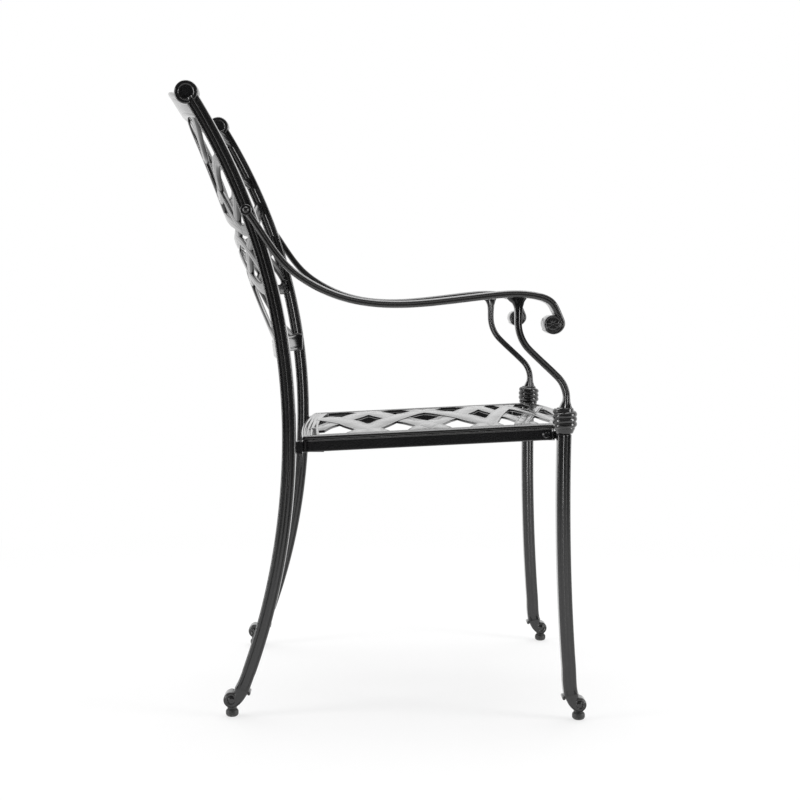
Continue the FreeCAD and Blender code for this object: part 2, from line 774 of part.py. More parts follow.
def front_bolt_point():
    """Point in the plane X = 0 that the front seat bolt's axis passes through."""
    flat = Vec(0, front_bolt_y, -seat_thickness - front_bolt_drop)
    turn = FreeCAD.Rotation(Vec(1, 0, 0), -seat_pitch)
    hinge = Vec(0, seat_hinge_y, 0)
    return turn.multVec(flat - hinge) + hinge + Vec(0, 0, seat_hinge_z)


def front_bolt_hole():
    """Hole along X for the right front seat bolt."""
    start = front_bolt_point() - Vec(through, 0, 0)
    return Part.makeCylinder(seat_bolt_radius + thread_gap, through, start, Vec(1, 0, 0))


def rear_bolt_hole():
    """Hole along Y for the right rear seat bolt."""
    point = rear_bolt_point()
    start = Vec(-rear_bolt_x, point.y - through / 2, point.z)
    return Part.makeCylinder(seat_bolt_radius + thread_gap, through, start, Vec(0, 1, 0))


def rear_bolt_head():
    """Middle of the underside of the right rear seat bolt's head, sunk in the back of the post."""
    point = rear_bolt_point()
    back_y = point.y + seat_gap + post_depth
    return Vec(-rear_bolt_x, back_y - seat_bolt_head_height - rear_bolt_sink, point.z)


def rear_bolt_point():
    """Point in the plane X = 0 at the middle of the rear lug's rear face."""
    z = seat_hinge_z - seat_thickness - rear_lug_drop - lug_height / 2
    return Vec(0, post_centre_y(z) - post_depth / 2 - seat_gap, z)


def front_rail():
    """Front rail: apron that follows the bowed front edge."""
    return seat_place(rail_band(front_rail_inset, rail_thickness, -through, seat_front_y + cross_rail_reach,
                                -front_rail_half, front_rail_half))


def rear_rail():
    """Rear rail: apron under the rear edge, between the lugs."""
    return seat_place(rail_band(rear_rail_inset, rail_thickness, seat_rear_y - cross_rail_reach, through,
                                -rear_rail_half, rear_rail_half))


def rear_lug():
    """Right rear lug: block against the post's front face with a tail along the side rail."""
    centre = rear_bolt_point()
    low = centre.z - lug_height / 2
    reach = centre.y - side_rail_rear_y - seat_gap
    block = Part.makeBox(rear_lug_outer_x - rear_lug_inner_x, reach, lug_height,
                         Vec(-rear_lug_outer_x, side_rail_rear_y + seat_gap, low))
    tail_outer = -(seat_half_width - rail_thickness - seat_gap)
    tail = Part.makeBox(lug_tail_thickness, lug_tail + seat_gap, lug_height,
                        Vec(tail_outer, side_rail_rear_y - lug_tail, low))
    return block.fuse(tail).cut(rear_bolt_hole()).removeSplitter()


def front_lug():
    """Right front lug: arm from the leg's inner face with a pad behind the side rail."""
    low = collar_bottom - seat_gap - lug_height
    leg_face = -(leg_x - leg_width / 2 - seat_gap)
    tail_outer = -(seat_half_width - rail_thickness - seat_gap)
    reach = Part.makeBox(tail_outer + lug_tail_thickness - leg_face, front_lug_length, lug_height,
                         Vec(leg_face, front_lug_front_y, low))
    tail = Part.makeBox(lug_tail_thickness, front_lug_tail, lug_height,
                        Vec(tail_outer, front_lug_front_y, low))
    body = reach.fuse(tail)
    bore = Part.makeCylinder(seat_bolt_radius + thread_gap, front_bolt_length + seat_gap,
                             Vec(-seat_half_width, 0, 0) + front_bolt_point(), Vec(1, 0, 0))
    return body.cut(bore).removeSplitter()


def front_seat_bolt():
    """Right front seat bolt: round head on the side rail, shank into the front lug."""
    point = front_bolt_point()
    face = Vec(-seat_half_width, point.y, point.z)
    head = Part.makeCone(seat_bolt_head_radius, seat_bolt_head_radius * bolt_dome_share,
                         seat_bolt_head_height, face, Vec(-1, 0, 0))
    shank = Part.makeCylinder(seat_bolt_radius, front_bolt_length, face, Vec(1, 0, 0))
    return head.fuse(shank).removeSplitter()


def rear_seat_bolt():
    """Right rear seat bolt: head sunk in the back of the post, shank through it into the rear lug."""
    under = rear_bolt_head()
    head = Part.makeCylinder(seat_bolt_head_radius, seat_bolt_head_height, under, Vec(0, 1, 0))
    shank = Part.makeCylinder(seat_bolt_radius, rear_bolt_length, under, Vec(0, -1, 0))
    return head.fuse(shank).removeSplitter()


def bored_rear_leg():
    """Right rear leg with its holes for the rear seat bolt and the arm bolt."""
    sink = Part.makeCylinder(seat_bolt_head_radius + counterbore_gap, through, rear_bolt_head(), Vec(0, 1, 0))
    blind = Part.makeCylinder(arm_bolt_radius + thread_gap, arm_bolt_length + seat_gap,
                              arm_knuckle() + Vec(arm_rear_face(), 0, 0), Vec(1, 0, 0))
    return rear_leg().cut(rear_bolt_hole()).cut(sink).cut(blind).removeSplitter()


def bow_at(z):
    """How far the back panel stands behind the posts' line at mid-width, at height z."""
    return panel_bow - panel_bow_fall * (z - panel_bow_z) ** 2


def bowed_slab(low, high, slices, bow_function, thickness):
    """Curved slab between the posts: bowed in plan, following the posts a little past both heights."""
    outlines = []
    for k in range(slices):
        z = low - slice_margin + (high - low + 2 * slice_margin) * k / (slices - 1)
        half_y = thickness / 2 / math.cos(post_lean(z))
        bow = bow_function(z)
        centre = post_centre_y(z)
        edges = []
        for side in (1, -1):
            shift = side * half_y
            start = Vec(side * post_x, centre + shift, z)
            middle = Vec(0, centre + bow + shift, z)
            end = Vec(-side * post_x, centre + shift, z)
            edges.append(Part.Arc(start, middle, end).toShape())
            edges.append(Part.makeLine(end, end - Vec(0, 2 * shift, 0)))
        outlines.append(Part.Wire(edges))
    return Part.makeLoft(outlines, True, False)


def rib_face(points, width):
    """Band of constant width along a smooth curve through the points, as a face facing Y."""
    centre = Part.BSplineCurve()
    centre.interpolate(points)
    sides = {1: [], -1: []}
    for point in centre.discretize(rib_points):
        along = centre.tangent(centre.parameter(point))[0]
        for side in (1, -1):
            sides[side].append(point + Vec(-along.z, 0, along.x) * (side * width / 2))
    top = Part.BSplineCurve()
    top.interpolate(sides[1])
    low = Part.BSplineCurve()
    low.interpolate(sides[-1])
    return Part.Face(Part.Wire([
        top.toShape(),
        Part.makeLine(sides[1][-1], sides[-1][-1]),
        low.toShape(),
        Part.makeLine(sides[-1][0], sides[1][0]),
    ]))


def crest_half():
    """Half the length of the crest rail, which fits between the rolled tops of the posts."""
    return post_x - curl_width / 2 - seat_gap


def crest_face(grow):
    """Outline of the crest rail seen from the front, grown downwards and sideways by a distance."""
    half = crest_half() + grow

    def curve(end, middle):
        return Part.Arc(Vec(-half, 0, end), Vec(0, 0, middle), Vec(half, 0, end)).toShape()

    end_low = crest_end_bottom - grow
    mid_low = crest_mid_bottom - grow
    return Part.Face(Part.Wire([
        curve(crest_end_top, crest_mid_top),
        Part.makeLine(Vec(half, 0, crest_end_top), Vec(half, 0, end_low)),
        curve(end_low, mid_low),
        Part.makeLine(Vec(-half, 0, end_low), Vec(-half, 0, crest_end_top)),
    ]))


def back_openings():
    """Faces of the gaps between the ribs, seen from the front; the smallest ones are left filled."""
    field = Part.Face(Part.makePolygon([
        Vec(-panel_half, 0, panel_bottom_z), Vec(panel_half, 0, panel_bottom_z),
        Vec(panel_half, 0, crest_end_top), Vec(-panel_half, 0, crest_end_top),
        Vec(-panel_half, 0, panel_bottom_z),
    ]))
    stretch = rib_span / rib_layout_half
    ribs = []
    for knots in smile_ribs + frown_ribs:
        right, left = ([Vec(side * x * stretch, 0, seat_hinge_z + rise) for x, rise in knots]
                       for side in (-1, 1))
        if knots[0][0] == 0:
            ribs.append(rib_face(right[:0:-1] + left, rib_width))
        else:
            ribs += [rib_face(points, rib_width) for points in (right, left)]
    gaps = field.cut(ribs)
    return [face for face in gaps.Faces if face.Area > smallest_gap_area]


def back_panel():
    """Back panel: bowed sheet with the gaps between its ribs cut through it."""
    slab = bowed_slab(panel_bottom_z, crest_mid_bottom, panel_slices, bow_at, panel_thickness)
    window = Part.makeBox(2 * panel_half, through, through, Vec(-panel_half, 0, panel_bottom_z))
    cutters = [crest_face(seat_gap).extrude(Vec(0, through, 0))]
    cutters.append(Part.makeBox(2 * panel_half, through, through, Vec(-panel_half, 0, crest_end_top)))
    for end_x in (-panel_half, crest_half()):
        cutters.append(Part.makeBox(panel_half - crest_half(), through, through,
                                    Vec(end_x, 0, crest_end_bottom - seat_gap)))
    ferrule_room = ferrule_length + seat_gap
    for end_x in (-panel_half, panel_half - ferrule_room):
        cutters.append(Part.makeBox(ferrule_room, through, through,
                                    Vec(end_x, 0, lower_rail_top + ferrule_over + seat_gap - through)))
    cutters += [face.extrude(Vec(0, through, 0)) for face in back_openings()]
    return slab.common(window).cut(cutters)


def crest_rail():
    """Crest rail: arched and bowed band between the tops of the posts."""
    slab = bowed_slab(crest_end_bottom, crest_mid_top, crest_slices, lambda z: crest_bow, crest_thickness)
    return slab.common(crest_face(0.0).extrude(Vec(0, through, 0)))


def lower_rail_slab(grow):
    """Bowed bar of the lower rail, grown all round by a distance."""
    slab = bowed_slab(lower_rail_bottom, lower_rail_top, 2, lambda z: lower_rail_bow,
                      lower_rail_depth + 2 * grow)
    box = Part.makeBox(2 * panel_half, through, lower_rail_top - lower_rail_bottom + 2 * grow,
                       Vec(-panel_half, 0, lower_rail_bottom - grow))
    return slab.common(box)


def ferrule():
    """Right ferrule: banded sleeve over the end of the lower rail."""
    middle = (lower_rail_bottom + lower_rail_top) / 2
    height = lower_rail_top - lower_rail_bottom + 2 * ferrule_over
    y = post_centre_y(middle)
    body = Part.makeBox(ferrule_length, ferrule_depth, height,
                        Vec(-panel_half, y - ferrule_depth / 2, middle - height / 2))
    pitch = ferrule_length / ferrule_bands
    for k in range(1, ferrule_bands):
        groove_x = -panel_half + k * pitch - ferrule_groove_width / 2
        collar_box = Part.makeBox(ferrule_groove_width, through, through,
                                  Vec(groove_x, y - through / 2, middle - through / 2))
        core_depth = ferrule_depth - 2 * ferrule_groove_depth
        core_height = height - 2 * ferrule_groove_depth
        core = Part.makeBox(ferrule_groove_width, core_depth, core_height,
                            Vec(groove_x, y - core_depth / 2, middle - core_height / 2))
        body = body.cut(collar_box.cut(core))
    return body.cut(lower_rail_slab(seat_gap)).removeSplitter()


def thread_insert(x, y):
    """Threaded insert in a foot."""
    body = Part.makeCylinder(insert_radius - insert_gap, insert_length, Vec(x, y, foot_boss_bottom))
    bore = Part.makeCylinder(stud_radius + thread_gap, insert_length + overlap,
                             Vec(x, y, foot_boss_bottom - overlap / 2))
    return body.cut(bore)


def glide_stud(x, y):
    """Threaded stud of a glide."""
    return Part.makeCylinder(stud_radius, stud_length, Vec(x, y, stud_base_z))


def glide_pad(x, y):
    """Bun-shaped pad of a glide, with a neck on top and a flat sole."""
    diagonal = math.sqrt(0.5)
    low_bend = Vec(pad_flat_radius + (pad_radius - pad_flat_radius) * diagonal, 0,
                   pad_belly_z * (1 - diagonal))
    top_rise = pad_height - pad_belly_z
    top_bend = Vec(pad_shoulder_radius + (pad_radius - pad_shoulder_radius) * diagonal, 0,
                   pad_belly_z + top_rise * diagonal)
    sole = Vec(pad_flat_radius, 0, 0)
    belly = Vec(pad_radius, 0, pad_belly_z)
    shoulder = Vec(pad_shoulder_radius, 0, pad_height)
    neck = Vec(pad_neck_radius, 0, pad_height)
    neck_top = neck + Vec(0, 0, pad_neck_height)
    axis_top = Vec(0, 0, neck_top.z)
    profile = Part.Wire([
        Part.makeLine(Vec(0, 0, 0), sole),
        Part.Arc(sole, low_bend, belly).toShape(),
        Part.Arc(belly, top_bend, shoulder).toShape(),
        Part.makeLine(shoulder, neck),
        Part.makeLine(neck, neck_top),
        Part.makeLine(neck_top, axis_top),
        Part.makeLine(axis_top, Vec(0, 0, 0)),
    ])
    pad = Part.Face(profile).revolve(Vec(0, 0, 0), Vec(0, 0, 1), 360)
    pad.translate(Vec(x, y, 0))
    socket = Part.makeCylinder(stud_radius, pad_height * 2, Vec(x, y, stud_base_z))
    return pad.cut(socket)


def build():
    """All pieces by node name."""
    pieces = {}
    right_arm = arm()
    right_side = {
        "rear_leg": bored_rear_leg(),
        "front_leg": front_leg(),
        "wrap_collar": collar(),
        "arm": right_arm,
        "arm_support": arm_support(right_arm),
        "seat_side_rail": side_rail(),
    }
    for name, shape in right_side.items():
        pieces[name + "_right"] = shape
        pieces[name + "_left"] = mirrored(shape)
    groups = {
        "arm_bolts": arm_bolt(),
        "seat_rear_lugs": rear_lug(),
        "seat_front_lugs": front_lug(),
        "seat_front_bolts": front_seat_bolt(),
        "seat_rear_bolts": rear_seat_bolt(),
        "lower_rail_ferrules": ferrule(),
    }
    for name, shape in groups.items():
        pieces[name] = Part.makeCompound([shape, mirrored(shape)])
    pieces["seat_panel"] = seat_panel()
    pieces["seat_front_rail"] = front_rail()
    pieces["seat_rear_rail"] = rear_rail()
    pieces["back_panel"] = back_panel()
    pieces["crest_rail"] = crest_rail()
    pieces["lower_back_rail"] = lower_rail_slab(0.0)
    feet = {
        "rear_right": (-post_x, rear_scroll_y()),
        "rear_left": (post_x, rear_scroll_y()),
        "front_right": (-leg_x, front_scroll_y()),
        "front_left": (leg_x, front_scroll_y()),
    }
    pieces["foot_inserts"] = Part.makeCompound([thread_insert(x, y) for x, y in feet.values()])
    for name, (x, y) in feet.items():
        pieces["glide_stud_" + name] = glide_stud(x, y)
        pieces["glide_pad_" + name] = glide_pad(x, y)
    return pieces


def export(pieces):
    """Centre the chair on the origin along Y and write one file per node."""
    boxes = [shape.optimalBoundingBox(True, False) for shape in pieces.values()]
    shift = -(min(box.YMin for box in boxes) + max(box.YMax for box in boxes)) / 2
    os.makedirs("parts", exist_ok=True)
    for name, shape in pieces.items():
        shape.translate(Vec(0, shift, 0))
        shape.exportStep("parts/" + name + ".step")


export(build())
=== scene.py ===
import math

import bpy
import numpy as np
from bpy.props import FloatProperty, FloatVectorProperty, IntProperty, PointerProperty
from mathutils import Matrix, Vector


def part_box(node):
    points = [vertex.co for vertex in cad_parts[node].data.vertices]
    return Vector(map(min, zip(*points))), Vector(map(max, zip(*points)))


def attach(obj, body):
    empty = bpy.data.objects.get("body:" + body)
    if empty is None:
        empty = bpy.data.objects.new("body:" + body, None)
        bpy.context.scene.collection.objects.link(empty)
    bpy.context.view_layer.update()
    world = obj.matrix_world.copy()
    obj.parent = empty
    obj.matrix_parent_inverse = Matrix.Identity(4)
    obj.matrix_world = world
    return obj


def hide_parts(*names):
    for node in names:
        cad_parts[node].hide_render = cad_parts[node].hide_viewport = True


bl_info = {
    "name": "Cast Garden Armchair",
    "version": (1, 0, 0),
    "blender": (4, 5, 0),
    "location": "View3D > Sidebar > Armchair",
    "description": "Builds the looks of a cast garden armchair round its packed frame",
    "category": "Object",
}

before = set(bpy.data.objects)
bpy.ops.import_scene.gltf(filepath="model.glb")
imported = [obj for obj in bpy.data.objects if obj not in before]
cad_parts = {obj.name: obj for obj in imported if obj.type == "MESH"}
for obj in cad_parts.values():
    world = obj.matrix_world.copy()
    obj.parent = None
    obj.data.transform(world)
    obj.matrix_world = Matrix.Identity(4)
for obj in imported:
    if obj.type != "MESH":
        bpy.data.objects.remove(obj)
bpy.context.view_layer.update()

MM = 0.001


# Sizes of the frame that the looks follow, in millimetres, before the chair was centred along Y

POST_X = 222.0
POST_SIZE = (24.0, 20.0)
POST_WAIST = (113.4, 416.0)
POST_RADII = (923.0, 1039.0)
POST_CURL = (256.6, 905.7)
LEG_X = 248.0
LEG_SIZE = (21.0, 20.0)
LEG_WAIST = (-282.8, 344.0)
LEG_RADIUS = 3563.0
REAR_SCROLL = (199.2, 26.5)
FRONT_SCROLL = (-308.0, 23.7)
SCROLL_RADII = (12.0, 10.7)
BOSS_FOOT_Z = 12.0
COLLAR_Y = -284.5
COLLAR_Z = (419.0, 458.0)
KNUCKLE_Z = 738.5
ARM_X = POST_X + 12.3
ARM_REAR_WIDTH = 17.0
ARM_FRONT_X = (289.0, 239.0)
ARM_ROLL = (22.7, 165.4)
ROLL_HALF = 25.0
SEAT_Z = 411.8
SEAT_HINGE_Y = 91.5
SEAT_PITCH = math.radians(2.75)
SEAT_BOW = 16.0
FIELD_HALF = 190.0
FIELD_REAR = (70.0, 8.0)
FIELD_FRONT = -278.0
BORDER_HALF = 214.0
STRAP_LAP = 8.0
LATTICE_X = 143.0
OPENING_V = 0.285
CREST_HALF = 208.2
LOWER_RAIL_HALF = 209.6
LOWER_RAIL_Z = 536.25
LUG_HEIGHT = 11.5

# Knots of the back's ribs: distance from mid-width, height above the seat
SMILE_RIBS = [
    [(0, 408), (50, 410), (75, 414), (100, 420), (123, 436), (146, 450), (165, 463), (178, 476)],
    [(0, 351), (50, 352), (75, 355), (100, 359), (123, 368), (141, 384), (155, 393), (168, 399),
     (182, 402), (196, 400), (211, 394)],
    [(0, 285), (75, 288), (100, 291), (123, 296), (140, 303), (150, 311), (175, 329), (195, 345),
     (211, 356)],
    [(0, 220), (60, 226), (100, 236), (123, 246), (141, 256), (153, 264), (169, 273), (184, 280),
     (198, 286), (211, 291)],
]
FROWN_RIBS = [
    [(0, 472), (25, 468), (45, 455), (58, 430), (64, 400), (60, 368), (46, 342), (25, 328)],
    [(0, 328), (75, 322), (100, 317), (123, 313), (150, 307), (175, 301), (200, 298), (211, 296)],
    [(112, 366), (126, 350), (143, 326), (160, 310), (178, 300)],
    [(115, 290), (135, 286), (150, 281), (165, 273), (180, 263), (190, 255), (202, 245), (211, 234)],
    [(0, 270), (60, 261), (75, 257), (92, 250), (107, 240), (123, 231), (141, 224), (160, 218),
     (180, 215), (196, 216), (211, 222)],
    [(0, 240), (30, 233), (50, 221), (76, 196), (100, 177), (123, 162), (138, 152), (160, 144),
     (180, 136)],
]


def box_mm(node):
    """Lowest and highest corner of a CAD node, in millimetres."""
    low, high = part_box(node)
    return np.array(low) / MM, np.array(high) / MM


SHIFT_Y = sum(c[1] for c in box_mm("glide_stud_rear_left")) / 2 - REAR_SCROLL[0]


# Curves and grids

def smooth_line(knots, longest=5.0, turn=9.0, change=0.5):
    """Natural cubic spline through the knots' first two channels: each piece is the cubic whose second
    derivative runs straight from knot to knot. Further channels run straight from knot to knot and are
    averaged over a short stretch. The line is sampled with short steps where it bends or changes."""
    knots = np.array(knots, float)
    place = knots[:, :2]
    t = np.r_[0, np.cumsum(np.linalg.norm(np.diff(place, axis=0), axis=1))]
    h = np.diff(t)
    size = len(t)
    system = np.eye(size)
    i = np.arange(1, size - 1)
    system[i, i - 1] = h[:-1]
    system[i, i] = 2 * (h[:-1] + h[1:])
    system[i, i + 1] = h[1:]
    slopes = np.diff(place, axis=0) / h[:, None]
    bends = np.zeros_like(place)
    bends[1:-1] = 6 * np.diff(slopes, axis=0)
    bends = np.linalg.solve(system, bends)
    s = np.linspace(0, t[-1], int(t[-1] / 0.4) + 3)
    j = np.clip(np.searchsorted(t, s, "right") - 1, 0, size - 2)
    width = h[j][:, None]
    after = (t[j + 1] - s)[:, None]
    before = (s - t[j])[:, None]
    line = (bends[j] * after ** 3 + bends[j + 1] * before ** 3) / (6 * width)
    line += (place[j] / width - bends[j] * width / 6) * after
    line += (place[j + 1] / width - bends[j + 1] * width / 6) * before
    near = np.ones(5) / 5
    rest = [np.convolve(np.pad(np.interp(s, t, c), 2, "edge"), near, "valid") for c in knots[:, 2:].T]
    return evened(np.stack([*line.T, *rest], axis=1), longest, turn, change)


def evened(line, longest, turn, change):
    """The same line with a step wherever its length, turning or change of a further channel adds up."""
    steps = np.diff(line[:, :2], axis=0)
    heading = np.unwrap(np.arctan2(steps[:, 1], steps[:, 0]))
    turning = np.r_[0, np.abs(np.diff(heading))]
    weight = np.linalg.norm(steps, axis=1) / longest + turning / math.radians(turn)
    if line.shape[1] > 2:
        weight += np.abs(np.diff(line[:, 2:], axis=0)).max(axis=1) / change
    travel = np.r_[0, np.cumsum(weight)]
    stops = np.linspace(0, travel[-1], int(travel[-1]) + 2)
    return np.stack([np.interp(stops, travel, line[:, k]) for k in range(line.shape[1])], axis=1)


def rounded_bar(width, depth, corner, count, on_sides=(), on_faces=()):
    """Outline of a bar: a rectangle with quarter-circle corners, walked at an even pace. Each groove
    is a raised cosine cut: on the sides it is given by its place across the depth, on the faces by
    its place across the width, with its half width and its depth, negative for a raised reed."""
    a = np.linspace(0, math.pi / 2, 9)
    parts = []
    for k, (su, sv) in enumerate(((1, 1), (-1, 1), (-1, -1), (1, -1))):
        centre = np.array([su * (width / 2 - corner), sv * (depth / 2 - corner)])
        b = a + k * math.pi / 2
        parts.append(centre + corner * np.stack([np.cos(b), np.sin(b)], axis=1))
    loop = np.concatenate(parts)
    loop = np.concatenate([loop, loop[:1]])
    travel = np.r_[0, np.cumsum(np.linalg.norm(np.diff(loop, axis=0), axis=1))]
    stops = np.linspace(0, travel[-1], count, endpoint=False)
    u = np.interp(stops, travel, loop[:, 0])
    v = np.interp(stops, travel, loop[:, 1])
    sink_u = np.zeros(count)
    sink_v = np.zeros(count)
    for centre, half, cut in on_sides:
        near = np.clip(np.abs(v - centre) / half, 0, 1)
        sink_u += cut * (0.5 + 0.5 * np.cos(math.pi * near)) * (np.abs(u) > width / 2 - corner)
    for centre, half, cut in on_faces:
        near = np.clip(np.abs(u - centre) / half, 0, 1)
        sink_v += cut * (0.5 + 0.5 * np.cos(math.pi * near)) * (np.abs(v) > depth / 2 - corner)
    return np.stack([u - np.sign(u) * sink_u, v - np.sign(v) * sink_v], axis=1)


def stretched(outline, half, new_half, edge):
    """Outlines, one per station, whose first coordinate is drawn out from half to new_half in the
    middle only, so that the edges and their corners keep their shape."""
    u = outline[None, :, 0]
    wide = np.reshape(new_half, (-1, 1))
    inner = half - edge
    middle = u * (wide - edge) / inner
    outer = np.sign(u) * (np.abs(u) - half + wide)
    v = np.broadcast_to(outline[None, :, 1], middle.shape)
    return np.stack([np.where(np.abs(u) > inner, outer, middle), v], axis=2)


def headings(line):
    """Unit vectors along a line, from the differences of its neighbours."""
    along = np.gradient(line[:, :2], axis=0)
    return along / np.linalg.norm(along, axis=1, keepdims=True)


def carried(line, outlines, x=0.0):
    """Outlines carried along a line in the plane of Y and Z: the first outline coordinate lies along X
    and the second along the line's normal. Channels three and four of the line scale the two."""
    along = headings(line)
    if outlines.ndim == 2:
        outlines = outlines[None]
    u = outlines[..., 0] * line[:, 2:3]
    v = outlines[..., 1] * line[:, 3:4]
    y = line[:, 0:1] - v * along[:, 1:2]
    z = line[:, 1:2] + v * along[:, 0:1]
    return np.stack([np.reshape(x, (-1, 1)) + u, y, z], axis=2)


def domed(grid, reach, rings=4):
    """The same grid with its ends rounded off: further rings shrink to their middle as the cosine of
    an angle while they move out by its sine."""
    angles = np.linspace(0, math.pi / 2, rings + 1)[1:]
    shrink = np.cos(angles)[:, None, None] + 0.03 * (angles[:, None, None] > 1.5)
    caps = []
    for ring, inward in ((grid[0], grid[1]), (grid[-1], grid[-2])):
        middle = ring.mean(axis=0)
        out = middle - inward.mean(axis=0)
        out = out / np.linalg.norm(out) * reach
        caps.append(middle + (ring - middle) * shrink + out * np.sin(angles)[:, None, None])
    return np.concatenate([caps[0][::-1], grid, caps[1]])


def turned(profile, centre, axis, count=48, relief=None):
    """Surface of revolution: profile points are a radius and a distance along the axis, and each is
    turned about the axis through the centre. Relief adds to the distance by radius and angle."""
    profile = np.array(profile, float)
    angle = np.linspace(0, 2 * math.pi, count, endpoint=False)
    radius = profile[:, 0:1]
    along = np.broadcast_to(profile[:, 1:2], (len(profile), count))
    if relief is not None:
        along = along + relief(radius, angle[None, :], along)
    first = radius * np.cos(angle)
    second = radius * np.sin(angle)
    order = {"X": (along, first, second), "Y": (second, along, first), "Z": (first, second, along)}
    return np.stack(order[axis], axis=2) + np.array(centre, float)


# Meshes

def grid_relief(points, wrap_rows):
    """How strongly each point of a grid stands out or lies in: the curvature along the rows and the
    columns, from each point's place between its neighbours, added up along the normal."""
    rows = np.roll if wrap_rows else shifted
    bend = np.zeros(points.shape)
    ways = []
    for move, axis in ((rows, 0), (np.roll, 1)):
        ahead, behind = move(points, -1, axis), move(points, 1, axis)
        run = np.maximum(np.linalg.norm(ahead - behind, axis=2, keepdims=True) / 2, 0.15)
        bend += (ahead + behind - 2 * points) / run ** 2
        ways.append(ahead - behind)
    normal = np.cross(ways[1], ways[0])
    normal /= np.maximum(np.linalg.norm(normal, axis=2, keepdims=True), 1e-9)
    return -(bend * normal).sum(axis=2)


def shifted(points, step, axis):
    """Like a roll, but the ends repeat themselves."""
    index = np.clip(np.arange(points.shape[axis]) - step, 0, points.shape[axis] - 1)
    return np.take(points, index, axis=axis)


def closed_shell(points, wrap_rows=False):
    """Corners, faces and relief of a grid whose columns join up. Its rows join up too, or each end is
    closed by a fan to the middle of its ring. Faces are turned outwards by the sign of the volume."""
    rows, columns = points.shape[:2]
    corners = points.reshape(-1, 3)
    relief = grid_relief(points, wrap_rows).ravel()
    i, j = np.meshgrid(np.arange(rows if wrap_rows else rows - 1), np.arange(columns), indexing="ij")
    i2, j2 = (i + 1) % rows, (j + 1) % columns
    quads = np.stack([i * columns + j, i2 * columns + j, i2 * columns + j2, i * columns + j2], axis=2)
    quads = quads.reshape(-1, 4)
    fans = np.zeros((0, 3), int)
    if not wrap_rows:
        hub = len(corners)
        ring = np.arange(columns)
        first = np.stack([np.full(columns, hub), ring, (ring + 1) % columns], axis=1)
        last = (rows - 1) * columns + ring
        last = np.stack([np.full(columns, hub + 1), np.roll(last, -1), last], axis=1)
        fans = np.concatenate([first, last])
        corners = np.concatenate([corners, points[:1].mean(axis=1), points[-1:].mean(axis=1)])
        relief = np.r_[relief, 0, 0]
    halves = np.concatenate([quads[:, [0, 1, 2]], quads[:, [0, 2, 3]], fans])
    a, b, c = (corners[halves[:, k]] for k in range(3))
    if (a * np.cross(b, c)).sum() < 0:
        return corners, quads[:, ::-1], fans[:, ::-1], -relief
    return corners, quads, fans, relief


def piece(name, shells, nodes):
    """One painted object from closed shells in millimetres, which rides on the chair and stands for CAD
    nodes."""
    corners, quads, fans, relief, count = [], [], [], [], 0
    for shell in shells:
        corners.append(shell[0])
        quads.append(shell[1] + count)
        fans.append(shell[2] + count)
        relief.append(shell[3])
        count += len(shell[0])
    corners = np.concatenate(corners) + (0, SHIFT_Y, 0)
    quads, fans = np.concatenate(quads), np.concatenate(fans)
    mesh = bpy.data.meshes.new(name)
    mesh.vertices.add(count)
    mesh.vertices.foreach_set("co", (corners * MM).astype(np.float32).ravel())
    loops = np.concatenate([quads.ravel(), fans.ravel()])
    mesh.loops.add(len(loops))
    mesh.loops.foreach_set("vertex_index", loops.astype(np.int32))
    sizes = np.r_[np.full(len(quads), 4), np.full(len(fans), 3)]
    mesh.polygons.add(len(sizes))
    mesh.polygons.foreach_set("loop_start", np.r_[0, np.cumsum(sizes)[:-1]].astype(np.int32))
    mesh.update(calc_edges=True)
    mesh.validate()
    mesh.polygons.foreach_set("use_smooth", np.ones(len(mesh.polygons), bool))
    attribute = mesh.attributes.new("relief", "FLOAT", "POINT")
    attribute.data.foreach_set("value", np.concatenate(relief).astype(np.float32))
    mesh.materials.append(bpy.data.materials["Cast paint"])
    made = bpy.data.objects.new(name, mesh)
    bpy.context.scene.collection.objects.link(made)
    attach(made, "chair")
    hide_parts(*nodes)


def mirrored(shells):
    """The same shells on the other side of the chair."""
    return [(corners * (-1, 1, 1), quads[:, ::-1], fans[:, ::-1], relief)
            for corners, quads, fans, relief in shells]


def pair(name, shells, node):
    """The shells of the right side as one piece and their mirror image as another."""
    piece(name + "_right", shells, [node + "_right"])
    piece(name + "_left", mirrored(shells), [node + "_left"])


# Lines of the frame

def post_y(z):
    """Y of the post's centre line: two arcs that meet upright at the waist."""
    waist_y, waist_z = POST_WAIST
    radius = np.where(np.asarray(z) > waist_z, *POST_RADII)
    return waist_y + radius - np.sqrt(radius ** 2 - (np.asarray(z) - waist_z) ** 2)


def leg_y(z):
    """Y of the front leg's centre line: one long arc."""
    return LEG_WAIST[0] - LEG_RADIUS + np.sqrt(LEG_RADIUS ** 2 - (np.asarray(z) - LEG_WAIST[1]) ** 2)


def bowed(x, z, deep, bow):
    """Point of a back that is bowed in plan: at each height a circle through both posts, standing back
    by the bow at mid-width, with the given depth behind it."""
    radius = (POST_X ** 2 + bow ** 2) / (2 * bow)
    y = post_y(z) + np.sqrt(radius ** 2 - x ** 2) - (radius - bow) + deep
    return np.stack(np.broadcast_arrays(x, y, z), axis=-1)


def panel_bow(z):
    """How far the back panel stands behind the posts at mid-width."""
    return 47.0 - 0.0006 * (z - 742.0) ** 2


def crest_low(x):
    """Underside of the crest rail."""
    return 890.0 - 20.0 * (x / CREST_HALF) ** 2


def crest_top(x):
    """Top of the crest rail."""
    return 930.9 - 34.0 * (x / CREST_HALF) ** 2


